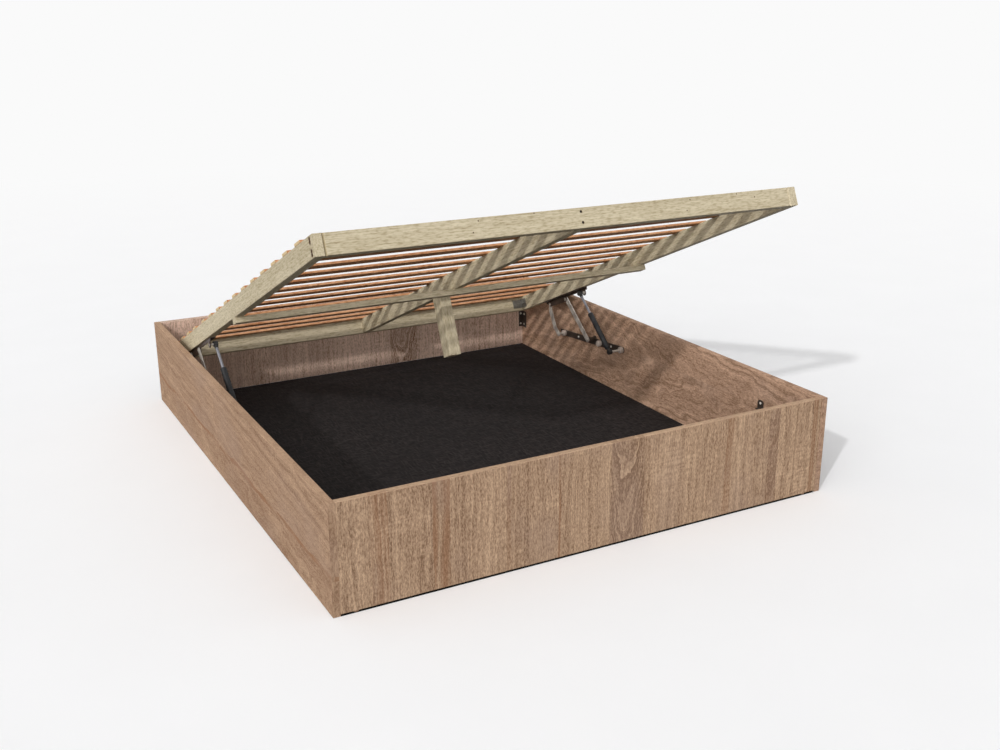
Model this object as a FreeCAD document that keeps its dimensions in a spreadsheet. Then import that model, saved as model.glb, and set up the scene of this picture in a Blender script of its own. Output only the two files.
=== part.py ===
import FreeCAD, Part
import math
import os
import re
import Sketcher

# Storage bed with a slatted platform that lifts at the foot end, drawn with the platform raised.
# X runs across the bed, Y from the foot to the head and Z up. The origin is on the ground, under
# the middle of the case. Lengths are in millimetres and angles in degrees.

# Driving dimensions

SIZES = {
    # Case of four panels round a thin floor board
    "case_width": 1710,
    "case_length": 1970,
    "case_height": 328,
    "panel_thickness": 22,
    "panel_round": 1.2,
    "end_panel_lift": 5,
    "floor_thickness": 5,
    "floor_gap": 1,
    "glide_diameter": 20,
    "glide_inset": 46,
    # Steel angles in the corners of the case
    "corner_bracket_height": 76,
    "corner_bracket_base": 91,
    "corner_side_flange": 36,
    "corner_end_flange": 20,
    "corner_bracket_thickness": 3,
    "corner_screw_margin": 14,
    # Small angles on the side panels, which stand a little above the underside of the lowered rails
    "closed_rail_height": 226,
    "stop_setback": 262,
    "stop_width": 28,
    "stop_height": 34,
    "stop_rise": 8,
    "stop_reach": 12,
    "stop_thickness": 3,
    "stop_round": 10,
    # Lower pivots of the lift, each set back from the inside of the head panel
    "rear_pivot_setback": 388.1,
    "rear_pivot_height": 154.8,
    "front_pivot_setback": 620.7,
    "front_pivot_height": 187.9,
    "strut_pivot_setback": 825.2,
    "strut_pivot_height": 192,
    # Base plate that carries the lower pivots
    "base_plate_width": 26,
    "base_plate_thickness": 4,
    "base_plate_tail": 37,
    "bushing_diameter": 26,
    "bushing_length": 14,
    "spacer_diameter": 17,
    "stud_diameter": 10,
    "stud_head_diameter": 16,
    "stud_head_thickness": 2.5,
    # Rails of the platform
    "rail_gap": 33,
    "rail_width": 30,
    "rail_depth": 60,
    "rail_round": 2,
    "rail_joint_bevel": 4,
    "platform_foot_gap": 44.2,
    "platform_head_gap": 11.8,
    "cross_bar_setback": 873,
    "cross_bar_width": 38,
    "cross_bar_thickness": 20,
    "leg_gap": 89,
    "leg_width": 45,
    "leg_depth": 60,
    "leg_round": 3,
    "leg_floor_gap": 1,
    # Slats, in two fields side by side, spaced from the foot and from the head
    "slat_width": 48,
    "slat_thickness": 8,
    "slat_round": 1.5,
    "slat_field_gap": 4,
    "slat_pitch": 119.5,
    "slat_foot_margin": 124,
    "slat_head_margin": 39,
    # Steel angles in the head corners of the platform
    "frame_bracket_flange": 44,
    "frame_bracket_height": 38,
    "frame_bracket_base": 11,
    "frame_bracket_thickness": 2.5,
    # Steel angle under each side rail, with the upper pivots set back from the platform's head end
    "upper_flange_inset": 8,
    "upper_flange_drop": 13,
    "upper_lug_width": 23,
    "upper_bracket_thickness": 3,
    "upper_bracket_overhang": 26,
    "upper_bracket_round": 6,
    "rear_pin_setback": 249.5,
    "rear_pin_drop": 15.7,
    "front_pin_setback": 386.6,
    "front_pin_drop": 18.8,
    "strut_stud_setback": 546.1,
    "strut_stud_drop": 22.2,
    "pin_diameter": 8,
    "pin_head_diameter": 14,
    "pin_head_thickness": 2,
    # Links, and how the platform stands when it is raised
    "link_width": 22,
    "link_thickness": 4,
    "link_gap": 1,
    "front_link_length": 223.2,
    "front_link_angle": 38.3,
    "open_tilt": 23.49,
    "rear_link_crank": 16,
    # Gas struts
    "strut_offset": 20,
    "cylinder_diameter": 22,
    "cylinder_bore": 17,
    "cylinder_base": 18,
    "cylinder_mouth": 196,
    "cylinder_round": 1.5,
    "end_wall": 6,
    "gland_length": 12,
    "rod_diameter": 10,
    "piston_length": 10,
    "piston_clearance": 0.1,
    "piston_setback": 30,
    "socket_diameter": 20,
    "socket_width": 16,
    "socket_wall": 3,
    "neck_diameter": 14,
    "rod_seat_depth": 8,
    # Screws
    "screw_diameter": 4,
    "screw_length": 14,
    "screw_head_diameter": 8,
    "screw_head_height": 2.4,
    "joint_screw_length": 50,
    "joint_screw_head_diameter": 8,
    "joint_screw_sink": 4,
    "joint_screw_setback": 21,
    # Clearances, and how far a cut runs past what it cuts
    "pivot_clearance": 0.05,
    "side_clearance": 0.3,
    "open_pivot_gap": 0.4,
    "screw_clearance": 0.05,
    "overrun": 5,
}

FOOT_SLAT_ROWS = 11
HEAD_SLAT_ROWS = 4
CORNER_HOLE_SHARE = 0.6
STOP_HOLE_SHARE = 0.3
FRAME_HOLE_SHARES = (0.4, 0.8)
BASE_SCREW_SHARES = (-0.05, 0.25, 0.82)
BUMPER_SHARE = 0.634
UPPER_SCREW_SHARES = (0.2, 0.37, 0.66, 0.95)
JOINT_SCREW_SHARES = (0.16, 0.32, 0.70, 0.85)
CENTRE_SCREW_SHARES = (0.27, 0.80)
CRANK_SHARES = (0.24, 0.84)
BUSHING_SHOULDER_SHARE = 0.85
BUSHING_RIM_SHARE = 0.42
NECK_SHARE = 0.9

SIDES = {"left": -1, "right": 1}
ENDS = {"foot": -1, "head": 1}
QUARTER_TURN = 90

doc = FreeCAD.newDocument("storage_bed")
sheet = doc.addObject("Spreadsheet::Sheet", "sizes")
for row, (alias, value) in enumerate(SIZES.items(), start=1):
    sheet.set(f"A{row}", alias)
    sheet.set(f"B{row}", str(value))
    sheet.setAlias(f"B{row}", alias)
doc.recompute()

nodes = []

# Formulas that several pieces share

OUTSIDE_X = "(case_width / 2)"
OUTSIDE_Y = "(case_length / 2)"
INSIDE_X = f"({OUTSIDE_X} - panel_thickness)"
INSIDE_Y = f"({OUTSIDE_Y} - panel_thickness)"
PLATE_X = f"({INSIDE_X} - base_plate_thickness)"
RAIL_X = f"({INSIDE_X} - rail_gap)"
RAIL_INSIDE_X = f"({RAIL_X} - rail_width)"
FLANGE_X = f"({RAIL_X} - upper_flange_inset)"
FLANGE_INSIDE_X = f"({FLANGE_X} - upper_bracket_thickness)"
LINK_X = f"({FLANGE_X} + link_gap)"
LINK_OUTSIDE_X = f"({LINK_X} + link_thickness)"
STRUT_X = f"({FLANGE_INSIDE_X} - strut_offset)"
STOP_Y = f"(stop_setback - {INSIDE_Y})"
STOP_TOP = "(closed_rail_height + stop_rise)"

PLATFORM_LENGTH = "(case_length - 2 * panel_thickness - platform_foot_gap - platform_head_gap)"
HEAD_RAIL_Y = f"({PLATFORM_LENGTH} - rail_width)"
LEG_Y = "(cross_bar_setback + cross_bar_width + leg_gap)"
LEG_LENGTH = "(closed_rail_height - floor_thickness - leg_floor_gap)"
UPPER_FRONT_Y = f"({PLATFORM_LENGTH} - strut_stud_setback - upper_bracket_overhang)"
UPPER_REAR_Y = f"({PLATFORM_LENGTH} - rear_pin_setback + upper_bracket_overhang)"

PILOT = "(screw_diameter + 2 * screw_clearance)"
STUD_HOLE = "(stud_diameter + 2 * pivot_clearance)"
PIN_HOLE = "(pin_diameter + 2 * pivot_clearance)"

# Places of the lift's pivots, as pairs of Y and Z

REAR_PIVOT = (f"({INSIDE_Y} - rear_pivot_setback)", "rear_pivot_height")
FRONT_PIVOT = (f"({INSIDE_Y} - front_pivot_setback)", "front_pivot_height")
STRUT_PIVOT = (f"({INSIDE_Y} - strut_pivot_setback)", "strut_pivot_height")
FRONT_PIN = (
    f"({FRONT_PIVOT[0]} + front_link_length * cos(front_link_angle))",
    f"({FRONT_PIVOT[1]} + front_link_length * sin(front_link_angle))",
)
FRONT_PIN_ALONG = f"({PLATFORM_LENGTH} - front_pin_setback)"
PLATFORM_FOOT = (
    f"({FRONT_PIN[0]} - {FRONT_PIN_ALONG} * cos(open_tilt) + front_pin_drop * sin(open_tilt))",
    f"({FRONT_PIN[1]} + {FRONT_PIN_ALONG} * sin(open_tilt) + front_pin_drop * cos(open_tilt))",
)


def on_platform(along, up):
    """Give the Y and Z of a point of the raised platform, from its foot end and its underside."""
    y = f"({PLATFORM_FOOT[0]} + ({along}) * cos(open_tilt) + ({up}) * sin(open_tilt))"
    z = f"({PLATFORM_FOOT[1]} - ({along}) * sin(open_tilt) + ({up}) * cos(open_tilt))"
    return y, z


REAR_PIN = on_platform(f"{PLATFORM_LENGTH} - rear_pin_setback", "-rear_pin_drop")
STRUT_STUD = on_platform(f"{PLATFORM_LENGTH} - strut_stud_setback", "-strut_stud_drop")


def distance(start, end):
    """Give the distance between two places."""
    return f"hypot({end[0]} - {start[0]}; {end[1]} - {start[1]})"


def slope(start, end):
    """Give the angle of the line between two places, from Y towards Z."""
    return f"atan2({end[1]} - {start[1]}; {end[0]} - {start[0]})"


def seen_from(origin, angle, place):
    """Give a place along and square to a line that starts at an origin, at an angle."""
    y = f"({place[0]} - {origin[0]})"
    z = f"({place[1]} - {origin[1]})"
    return f"({y} * cos({angle}) + {z} * sin({angle}))", f"({z} * cos({angle}) - {y} * sin({angle}))"


# Tools for drawing


def formula(text):
    """Point every size that a formula names at its cell."""
    return re.sub(r"[a-z_]+", lambda word: f"sizes.{word[0]}" if word[0] in SIZES else word[0], text)


def place(piece, x="0", y="0", z="0", axis="1; 0; 0", turn="0"):
    """Put a piece at a place, turned about an axis."""
    move = f"vector({x}; {y}; {z})"
    piece.setExpression("Placement", formula(f"placement({move}; rotation(vector({axis}); {turn}))"))


def place_on_platform(piece):
    """Put a piece that is drawn from the platform's foot end and underside onto the raised platform."""
    place(piece, "0", *PLATFORM_FOOT, turn="-open_tilt")


def sketch(body, plane, offset="0"):
    """Start a drawing on one of a body's own planes, moved along the plane's normal."""
    drawing = body.newObject("Sketcher::SketchObject", "drawing")
    support = next(feature for feature in body.Origin.OriginFeatures if feature.Role == plane)
    drawing.AttachmentSupport = [(support, "")]
    drawing.MapMode = "FlatFace"
    drawing.setExpression("AttachmentOffset.Base.z", formula(offset))
    return drawing


def hold_point(drawing, edge, point, across, up):
    """Hold one point of a drawing at its distances from the drawing's origin."""
    for kind, amount in (("DistanceX", across), ("DistanceY", up)):
        number = drawing.addConstraint(Sketcher.Constraint(kind, -1, 1, edge, point, 0))
        drawing.setExpression(f"Constraints[{number}]", formula(amount))


def outline(drawing, corners):
    """Draw a closed outline of straight lines through its corners."""
    count = len(corners)
    first = drawing.GeometryCount
    turns = [math.tau * corner / count for corner in range(count)]
    start = [FreeCAD.Vector(math.cos(turn), math.sin(turn), 0) for turn in turns]
    for corner in range(count):
        drawing.addGeometry(Part.LineSegment(start[corner], start[(corner + 1) % count]))
    for corner in range(count):
        meeting = Sketcher.Constraint("Coincident", first + corner, 2, first + (corner + 1) % count, 1)
        drawing.addConstraint(meeting)
    for corner, (across, up) in enumerate(corners):
        hold_point(drawing, first + corner, 1, across, up)


def rectangle(drawing, across, up):
    """Draw a rectangle between two distances across and two up."""
    outline(drawing, [(across[0], up[0]), (across[1], up[0]), (across[1], up[1]), (across[0], up[1])])


def circle(drawing, across, up, diameter):
    """Draw a circle about a point."""
    edge = drawing.addGeometry(Part.Circle(FreeCAD.Vector(), FreeCAD.Vector(0, 0, 1), 1))
    hold_point(drawing, edge, 3, across, up)
    number = drawing.addConstraint(Sketcher.Constraint("Diameter", edge, 2))
    drawing.setExpression(f"Constraints[{number}]", formula(diameter))


def pad(body, drawing, length, backwards=False):
    """Raise a drawing along its normal, or backwards."""
    solid = body.newObject("PartDesign::Pad", "pad")
    solid.Profile = drawing
    solid.setExpression("Length", formula(length))
    solid.Reversed = backwards
    return solid


def drill(body, plane, offset, centres, diameter, depth, forwards=False):
    """Cut round holes against a plane's normal, or along it."""
    drawing = sketch(body, plane, offset)
    for across, up in centres:
        circle(drawing, across, up, diameter)
    holes = body.newObject("PartDesign::Pocket", "holes")
    holes.Profile = drawing
    holes.setExpression("Length", formula(depth))
    holes.Reversed = forwards


def turn_outline(label, corners):
    """Turn an outline, given as radius and height, about the Z axis."""
    body = doc.addObject("PartDesign::Body", label)
    drawing = sketch(body, "XZ_Plane")
    outline(drawing, corners)
    solid = body.newObject("PartDesign::Revolution", "turning")
    solid.Profile = drawing
    solid.ReferenceAxis = (drawing, ["V_Axis"])
    return body


def runs_along(axis):
    """Make a test for straight edges that run along an axis."""
    return lambda edge: abs(edge.tangentAt(edge.FirstParameter).dot(axis)) > math.cos(math.radians(1))


def round_edges(body, solid, radius, chosen):
    """Round those edges of a solid that pass a test."""
    doc.recompute()
    names = [f"Edge{number}" for number, edge in enumerate(solid.Shape.Edges, start=1) if chosen(edge)]
    rounding = body.newObject("PartDesign::Fillet", "rounding")
    rounding.Base = (solid, names)
    rounding.setExpression("Radius", formula(radius))


def sided(side, near, far):
    """Give two distances across, on the left or the right of the bed."""
    return f"{side} * {near}", f"{side} * {far}"


def board(label, across, along, up):
    """Make a board between two distances across, two along and two up."""
    body = doc.addObject("PartDesign::Body", label)
    drawing = sketch(body, "XY_Plane", up[0])
    rectangle(drawing, across, along)
    pad(body, drawing, f"{up[1]} - ({up[0]})")
    nodes.append(body)
    return body


def group(label, copies):
    """Put copies of a master piece, each with its place, in one node of separate solids."""
    links = []
    for master, spot in copies:
        link = doc.addObject("App::Link", f"{label}_copy")
        link.LinkedObject = master
        place(link, **spot)
        links.append(link)
    together = doc.addObject("Part::Compound", label)
    together.Links = links
    nodes.append(together)


def facing_in(side, x, spot):
    """Give a place at a distance from the middle, with a piece's own Z axis towards the middle."""
    turn = f"{-side * QUARTER_TURN}"
    return dict(x=f"{side} * {x}", y=spot[0], z=spot[1], axis="0; 1; 0", turn=turn)


# Screws, made once and copied

screw_head = "screw_head_diameter / 2"
pan_head_screw = turn_outline("pan_head_screw", [
    ("0", "-screw_length"),
    ("screw_diameter / 4", "-screw_length"),
    ("screw_diameter / 2", "-screw_length + screw_diameter"),
    ("screw_diameter / 2", "0"),
    (screw_head, "0"),
    (screw_head, "screw_head_height / 2"),
    ("screw_head_diameter / 3", "screw_head_height"),
    ("0", "screw_head_height"),
])

joint_head_depth = "((joint_screw_head_diameter - screw_diameter) / 2)"
joint_screw = turn_outline("joint_screw", [
    ("0", "-joint_screw_length"),
    ("screw_diameter / 4", "-joint_screw_length"),
    ("screw_diameter / 2", "-joint_screw_length + screw_diameter"),
    ("screw_diameter / 2", f"-{joint_head_depth}"),
    ("joint_screw_head_diameter / 2", "0"),
    ("0", "0"),
])

case_screws = []
platform_screws = []
joint_screws = []

# Where the corner brackets' screws are

CORNER_SCREW_HEIGHTS = (
    "corner_bracket_base + corner_screw_margin",
    "corner_bracket_base + corner_bracket_height - corner_screw_margin",
)
CORNER_SIDE_Y = f"({INSIDE_Y} - corner_side_flange * {CORNER_HOLE_SHARE})"
CORNER_END_X = f"({INSIDE_X} - corner_end_flange * {CORNER_HOLE_SHARE})"
CORNER_SIDE_SCREWS = [(f"{end} * {CORNER_SIDE_Y}", z) for end in ENDS.values() for z in CORNER_SCREW_HEIGHTS]
CORNER_END_SCREWS = [(f"{side} * {CORNER_END_X}", z) for side in SIDES.values() for z in CORNER_SCREW_HEIGHTS]

# Where the screws of the stop brackets and base plates are

STOP_SCREW = (STOP_Y, f"{STOP_TOP} - stop_height * {STOP_HOLE_SHARE}")
PLATE_LENGTH = distance(STRUT_PIVOT, REAR_PIVOT)
PLATE_SLOPE = slope(STRUT_PIVOT, REAR_PIVOT)


def on_base_plate(share):
    """Give a place on the base plate's middle line, as a share of the way from rear to strut pivot."""
    y = f"({REAR_PIVOT[0]} + {share} * ({STRUT_PIVOT[0]} - {REAR_PIVOT[0]}))"
    z = f"({REAR_PIVOT[1]} + {share} * ({STRUT_PIVOT[1]} - {REAR_PIVOT[1]}))"
    return y, z


BASE_SCREWS = [on_base_plate(share) for share in BASE_SCREW_SHARES]

# Case panels

for name, side in SIDES.items():
    panel = board(f"side_panel_{name}", sided(side, INSIDE_X, OUTSIDE_X), (f"-{OUTSIDE_Y}", OUTSIDE_Y),
                  ("0", "case_height"))
    round_edges(panel, panel.Tip, "panel_round", runs_along(FreeCAD.Vector(0, 1, 0)))
    spots = CORNER_SIDE_SCREWS + BASE_SCREWS + [STOP_SCREW]
    drill(panel, "YZ_Plane", f"{side} * {INSIDE_X}", spots, PILOT, "screw_length", forwards=side > 0)

for name, end in ENDS.items():
    panel = board(f"{name}_panel", (f"-{INSIDE_X}", INSIDE_X), sided(end, INSIDE_Y, OUTSIDE_Y),
                  ("end_panel_lift", "case_height"))
    round_edges(panel, panel.Tip, "panel_round", runs_along(FreeCAD.Vector(1, 0, 0)))
    drill(panel, "XZ_Plane", f"{-end} * {INSIDE_Y}", CORNER_END_SCREWS, PILOT, "screw_length",
          forwards=end < 0)

board("floor_board", (f"floor_gap - {INSIDE_X}", f"{INSIDE_X} - floor_gap"),
      (f"floor_gap - {INSIDE_Y}", f"{INSIDE_Y} - floor_gap"), ("0", "floor_thickness"))

# Glides under the end panels, each a low dished disc

glide = turn_outline("glide", [
    ("0", "0"),
    ("glide_diameter / 2 - end_panel_lift / 3", "0"),
    ("glide_diameter / 2", "end_panel_lift / 3"),
    ("glide_diameter / 2", "end_panel_lift"),
    ("0", "end_panel_lift"),
])
GLIDE_Y = f"({OUTSIDE_Y} - panel_thickness / 2)"
group("panel_glides", [
    (glide, dict(x=f"{side} * ({INSIDE_X} - glide_inset)", y=f"{end} * {GLIDE_Y}"))
    for side in SIDES.values() for end in ENDS.values()
])

# Corner brackets of the case

corner_brackets = doc.addObject("PartDesign::Body", "case_corner_brackets")
angles = sketch(corner_brackets, "XY_Plane", "corner_bracket_base")
for side in SIDES.values():
    for end in ENDS.values():
        inner_x = f"{side} * ({INSIDE_X} - corner_bracket_thickness)"
        inner_y = f"{end} * ({INSIDE_Y} - corner_bracket_thickness)"
        outline(angles, [
            (f"{side} * {INSIDE_X}", f"{end} * {INSIDE_Y}"),
            (f"{side} * ({INSIDE_X} - corner_end_flange)", f"{end} * {INSIDE_Y}"),
            (f"{side} * ({INSIDE_X} - corner_end_flange)", inner_y),
            (inner_x, inner_y),
            (inner_x, f"{end} * ({INSIDE_Y} - corner_side_flange)"),
            (f"{side} * {INSIDE_X}", f"{end} * ({INSIDE_Y} - corner_side_flange)"),
        ])
pad(corner_brackets, angles, "corner_bracket_height")
for side in SIDES.values():
    drill(corner_brackets, "YZ_Plane", f"{side} * {INSIDE_X}", CORNER_SIDE_SCREWS, PILOT,
          "corner_bracket_thickness + overrun", forwards=side < 0)
    for spot in CORNER_SIDE_SCREWS:
        face_x = f"({INSIDE_X} - corner_bracket_thickness)"
        case_screws.append((pan_head_screw, facing_in(side, face_x, spot)))
for end in ENDS.values():
    drill(corner_brackets, "XZ_Plane", f"{-end} * {INSIDE_Y}", CORNER_END_SCREWS, PILOT,
          "corner_bracket_thickness + overrun", forwards=end > 0)
    for x, z in CORNER_END_SCREWS:
        face_y = f"{end} * ({INSIDE_Y} - corner_bracket_thickness)"
        case_screws.append((pan_head_screw, dict(x=x, y=face_y, z=z, turn=f"{end * QUARTER_TURN}")))
nodes.append(corner_brackets)

# Stop brackets on the side panels

stops = doc.addObject("PartDesign::Body", "stop_brackets")
angles = sketch(stops, "XZ_Plane", f"-({STOP_Y} + stop_width / 2)")
stop_base = f"({STOP_TOP} - stop_height)"
for side in SIDES.values():
    outline(angles, [
        (f"{side} * {INSIDE_X}", stop_base),
        (f"{side} * {INSIDE_X}", STOP_TOP),
        (f"{side} * ({INSIDE_X} - stop_thickness)", STOP_TOP),
        (f"{side} * ({INSIDE_X} - stop_thickness)", f"{stop_base} + stop_thickness"),
        (f"{side} * ({INSIDE_X} - stop_reach)", f"{stop_base} + stop_thickness"),
        (f"{side} * ({INSIDE_X} - stop_reach)", stop_base),
    ])
plates = pad(stops, angles, "stop_width")
crosswise = runs_along(FreeCAD.Vector(1, 0, 0))
stop_middle = SIZES["closed_rail_height"] + SIZES["stop_rise"] - SIZES["stop_height"] / 2
round_edges(stops, plates, "stop_round", lambda edge: crosswise(edge) and edge.CenterOfMass.z > stop_middle)
for side in SIDES.values():
    drill(stops, "YZ_Plane", f"{side} * {INSIDE_X}", [STOP_SCREW], PILOT, "stop_thickness + overrun",
          forwards=side < 0)
    case_screws.append((pan_head_screw, facing_in(side, f"({INSIDE_X} - stop_thickness)", STOP_SCREW)))
nodes.append(stops)

# Base plates, drawn from the strut pivot towards the rear pivot

for name, side in SIDES.items():
    plate = doc.addObject("PartDesign::Body", f"base_plate_{name}")
    lug = seen_from(STRUT_PIVOT, PLATE_SLOPE, FRONT_PIVOT)
    strip = sketch(plate, "YZ_Plane")
    half = "base_plate_width / 2"
    rectangle(strip, ("0", f"{PLATE_LENGTH} + base_plate_tail"), (f"-{half}", half))
    pad(plate, strip, "base_plate_thickness", backwards=side > 0)
    round_ends = sketch(plate, "YZ_Plane")
    circle(round_ends, "0", "0", "base_plate_width")
    circle(round_ends, *lug, "base_plate_width")
    pad(plate, round_ends, "base_plate_thickness", backwards=side > 0)
    depth = "base_plate_thickness + overrun"
    drill(plate, "YZ_Plane", "0", [("0", "0"), (PLATE_LENGTH, "0"), lug], STUD_HOLE, depth, forwards=side < 0)
    screw_line = [(f"{1 - share} * {PLATE_LENGTH}", "0") for share in BASE_SCREW_SHARES]
    drill(plate, "YZ_Plane", "0", screw_line, PILOT, depth, forwards=side < 0)
    place(plate, f"{side} * {INSIDE_X}", *STRUT_PIVOT, turn=PLATE_SLOPE)
    nodes.append(plate)
    for spot in BASE_SCREWS:
        case_screws.append((pan_head_screw, facing_in(side, PLATE_X, spot)))

group("case_screws", case_screws)

# Plastic bushings on the base plates, and a solid bumper between them

bushing = turn_outline("bushing", [
    (f"{STUD_HOLE} / 2", "0"),
    ("bushing_diameter / 2", "0"),
    ("bushing_diameter / 2", f"bushing_length * {BUSHING_SHOULDER_SHARE}"),
    (f"bushing_diameter * {BUSHING_RIM_SHARE}", "bushing_length"),
    (f"{STUD_HOLE} / 2", "bushing_length"),
])
bumper = turn_outline("bumper", [
    ("0", "0"),
    ("bushing_diameter / 2", "0"),
    ("bushing_diameter / 2", f"bushing_length * {BUSHING_SHOULDER_SHARE}"),
    (f"bushing_diameter * {BUSHING_RIM_SHARE}", "bushing_length"),
    ("0", "bushing_length"),
])
group("pivot_bushings", [
    (bushing, facing_in(side, PLATE_X, spot)) for side in SIDES.values() for spot in (REAR_PIVOT, STRUT_PIVOT)
])
BUMPER_SPOT = on_base_plate(BUMPER_SHARE)
group("base_bumpers", [(bumper, facing_in(side, PLATE_X, BUMPER_SPOT)) for side in SIDES.values()])

# Studs of the lower pivots, which start on the side panel and pass through the base plate

link_reach = f"({INSIDE_X} - {LINK_X} + side_clearance)"
link_stud = turn_outline("link_stud", [
    ("0", "0"),
    ("stud_diameter / 2", "0"),
    ("stud_diameter / 2", link_reach),
    ("stud_head_diameter / 2", link_reach),
    ("stud_head_diameter / 2", f"{link_reach} + stud_head_thickness / 2"),
    ("stud_head_diameter / 3", f"{link_reach} + stud_head_thickness"),
    ("0", f"{link_reach} + stud_head_thickness"),
])
group("rear_pivot_studs", [(link_stud, facing_in(side, INSIDE_X, REAR_PIVOT)) for side in SIDES.values()])
group("front_pivot_studs", [(link_stud, facing_in(side, INSIDE_X, FRONT_PIVOT)) for side in SIDES.values()])

spacer_length = f"({PLATE_X} - {LINK_OUTSIDE_X} - side_clearance)"
spacer = turn_outline("spacer", [
    (f"{STUD_HOLE} / 2", "0"),
    ("spacer_diameter / 2", "0"),
    ("spacer_diameter / 2", spacer_length),
    (f"{STUD_HOLE} / 2", spacer_length),
])
group("front_pivot_spacers", [(spacer, facing_in(side, PLATE_X, FRONT_PIVOT)) for side in SIDES.values()])

SOCKET_FLOOR_X = f"({STRUT_X} - socket_width / 2 + socket_wall)"
strut_reach = f"({INSIDE_X} - {SOCKET_FLOOR_X} - side_clearance)"
strut_stud = turn_outline("strut_stud", [
    ("0", "0"),
    ("stud_diameter / 2", "0"),
    ("stud_diameter / 2", strut_reach),
    ("0", strut_reach),
])
group("strut_pivot_studs", [(strut_stud, facing_in(side, INSIDE_X, STRUT_PIVOT)) for side in SIDES.values()])

# Screws through the rails of the platform, from the sides, the foot and below

JOINT_SIDE_SCREWS = [("joint_screw_setback", f"rail_depth * {share}") for share in JOINT_SCREW_SHARES]
JOINT_FOOT_SCREWS = [("0", f"rail_depth * {share}") for share in CENTRE_SCREW_SHARES]
CROSS_BAR_Y = "(cross_bar_setback + cross_bar_width / 2)"
BAR_SCREW_DEPTH = "joint_screw_length - cross_bar_thickness"
CROSS_BAR_X = [f"{side} * ({RAIL_X} - rail_width / 2)" for side in SIDES.values()] + ["0"]
FRAME_HOLE_Z = "(frame_bracket_base + frame_bracket_height / 2)"
FRAME_SIDE_SCREWS = [
    (f"{HEAD_RAIL_Y} - frame_bracket_flange * {share}", FRAME_HOLE_Z) for share in FRAME_HOLE_SHARES
]
UPPER_LENGTH = f"({UPPER_REAR_Y} - {UPPER_FRONT_Y})"
UPPER_SCREWS_Y = [f"{UPPER_FRONT_Y} + {UPPER_LENGTH} * {share}" for share in UPPER_SCREW_SHARES]
UPPER_SCREWS_X = f"(({RAIL_INSIDE_X} + {FLANGE_INSIDE_X}) / 2)"
JOINT_HOLE_DEPTH = "joint_screw_sink + joint_screw_length + overrun"
JOINT_SECOND_DEPTH = "joint_screw_sink + joint_screw_length - rail_width"
JOINT_HEAD_HOLE = "joint_screw_head_diameter + 2 * screw_clearance"


def countersink(body, plane, offset, centres, forwards=False):
    """Cut tapered seats for countersunk heads by a round hole with sloping sides."""
    drawing = sketch(body, plane, offset)
    for across, up in centres:
        circle(drawing, across, up, JOINT_HEAD_HOLE)
    seats = body.newObject("PartDesign::Pocket", "seats")
    seats.Profile = drawing
    seats.setExpression("Length", formula(joint_head_depth))
    seats.TaperAngle = -QUARTER_TURN / 2
    seats.Reversed = forwards


def bevel_joint(body, corner, inwards):
    """Bevel an upright corner at the foot end of a rail, where two rails meet."""
    drawing = sketch(body, "XY_Plane")
    outline(drawing, [
        (corner, "0"),
        (f"{corner} + {inwards} * rail_joint_bevel", "0"),
        (corner, "rail_joint_bevel"),
    ])
    cut = body.newObject("PartDesign::Pocket", "bevel")
    cut.Profile = drawing
    cut.setExpression("Length", formula("rail_depth"))
    cut.Reversed = True


# Side rails

for name, side in SIDES.items():
    rail = board(f"side_rail_{name}", sided(side, RAIL_INSIDE_X, RAIL_X), ("0", PLATFORM_LENGTH),
                 ("0", "rail_depth"))
    round_edges(rail, rail.Tip, "rail_round", runs_along(FreeCAD.Vector(0, 1, 0)))
    bevel_joint(rail, f"{side} * {RAIL_INSIDE_X}", side)
    drill(rail, "YZ_Plane", f"{side} * {RAIL_X}", JOINT_SIDE_SCREWS, PILOT, JOINT_HOLE_DEPTH,
          forwards=side < 0)
    drill(rail, "YZ_Plane", f"{side} * {RAIL_X}", JOINT_SIDE_SCREWS, JOINT_HEAD_HOLE, "joint_screw_sink",
          forwards=side < 0)
    seat_x = f"({RAIL_X} - joint_screw_sink)"
    countersink(rail, "YZ_Plane", f"{side} * {seat_x}", JOINT_SIDE_SCREWS, forwards=side < 0)
    drill(rail, "YZ_Plane", f"{side} * {RAIL_INSIDE_X}", FRAME_SIDE_SCREWS, PILOT, "screw_length",
          forwards=side > 0)
    under = [(f"{side} * {UPPER_SCREWS_X}", y) for y in UPPER_SCREWS_Y]
    drill(rail, "XY_Plane", "0", under, PILOT, "screw_length", forwards=True)
    bar_screw = [(f"{side} * ({RAIL_X} - rail_width / 2)", CROSS_BAR_Y)]
    drill(rail, "XY_Plane", "0", bar_screw, PILOT, BAR_SCREW_DEPTH, forwards=True)
    place_on_platform(rail)
    for along, up in JOINT_SIDE_SCREWS:
        spot = on_platform(along, up)
        joint_screws.append((joint_screw, facing_in(-side, f"(-{seat_x})", spot)))

# Foot, head and centre rails

between = (f"-{RAIL_INSIDE_X}", RAIL_INSIDE_X)
foot_rail = board("foot_rail", between, ("0", "rail_width"), ("0", "rail_depth"))
round_edges(foot_rail, foot_rail.Tip, "rail_round", runs_along(FreeCAD.Vector(1, 0, 0)))
for side in SIDES.values():
    bevel_joint(foot_rail, f"{side} * {RAIL_INSIDE_X}", -side)
    drill(foot_rail, "YZ_Plane", f"{side} * {RAIL_INSIDE_X}", JOINT_SIDE_SCREWS, PILOT, JOINT_SECOND_DEPTH,
          forwards=side < 0)
drill(foot_rail, "XZ_Plane", "0", JOINT_FOOT_SCREWS, PILOT, JOINT_HOLE_DEPTH)
drill(foot_rail, "XZ_Plane", "0", JOINT_FOOT_SCREWS, JOINT_HEAD_HOLE, "joint_screw_sink")
countersink(foot_rail, "XZ_Plane", "-joint_screw_sink", JOINT_FOOT_SCREWS)
place_on_platform(foot_rail)
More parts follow.
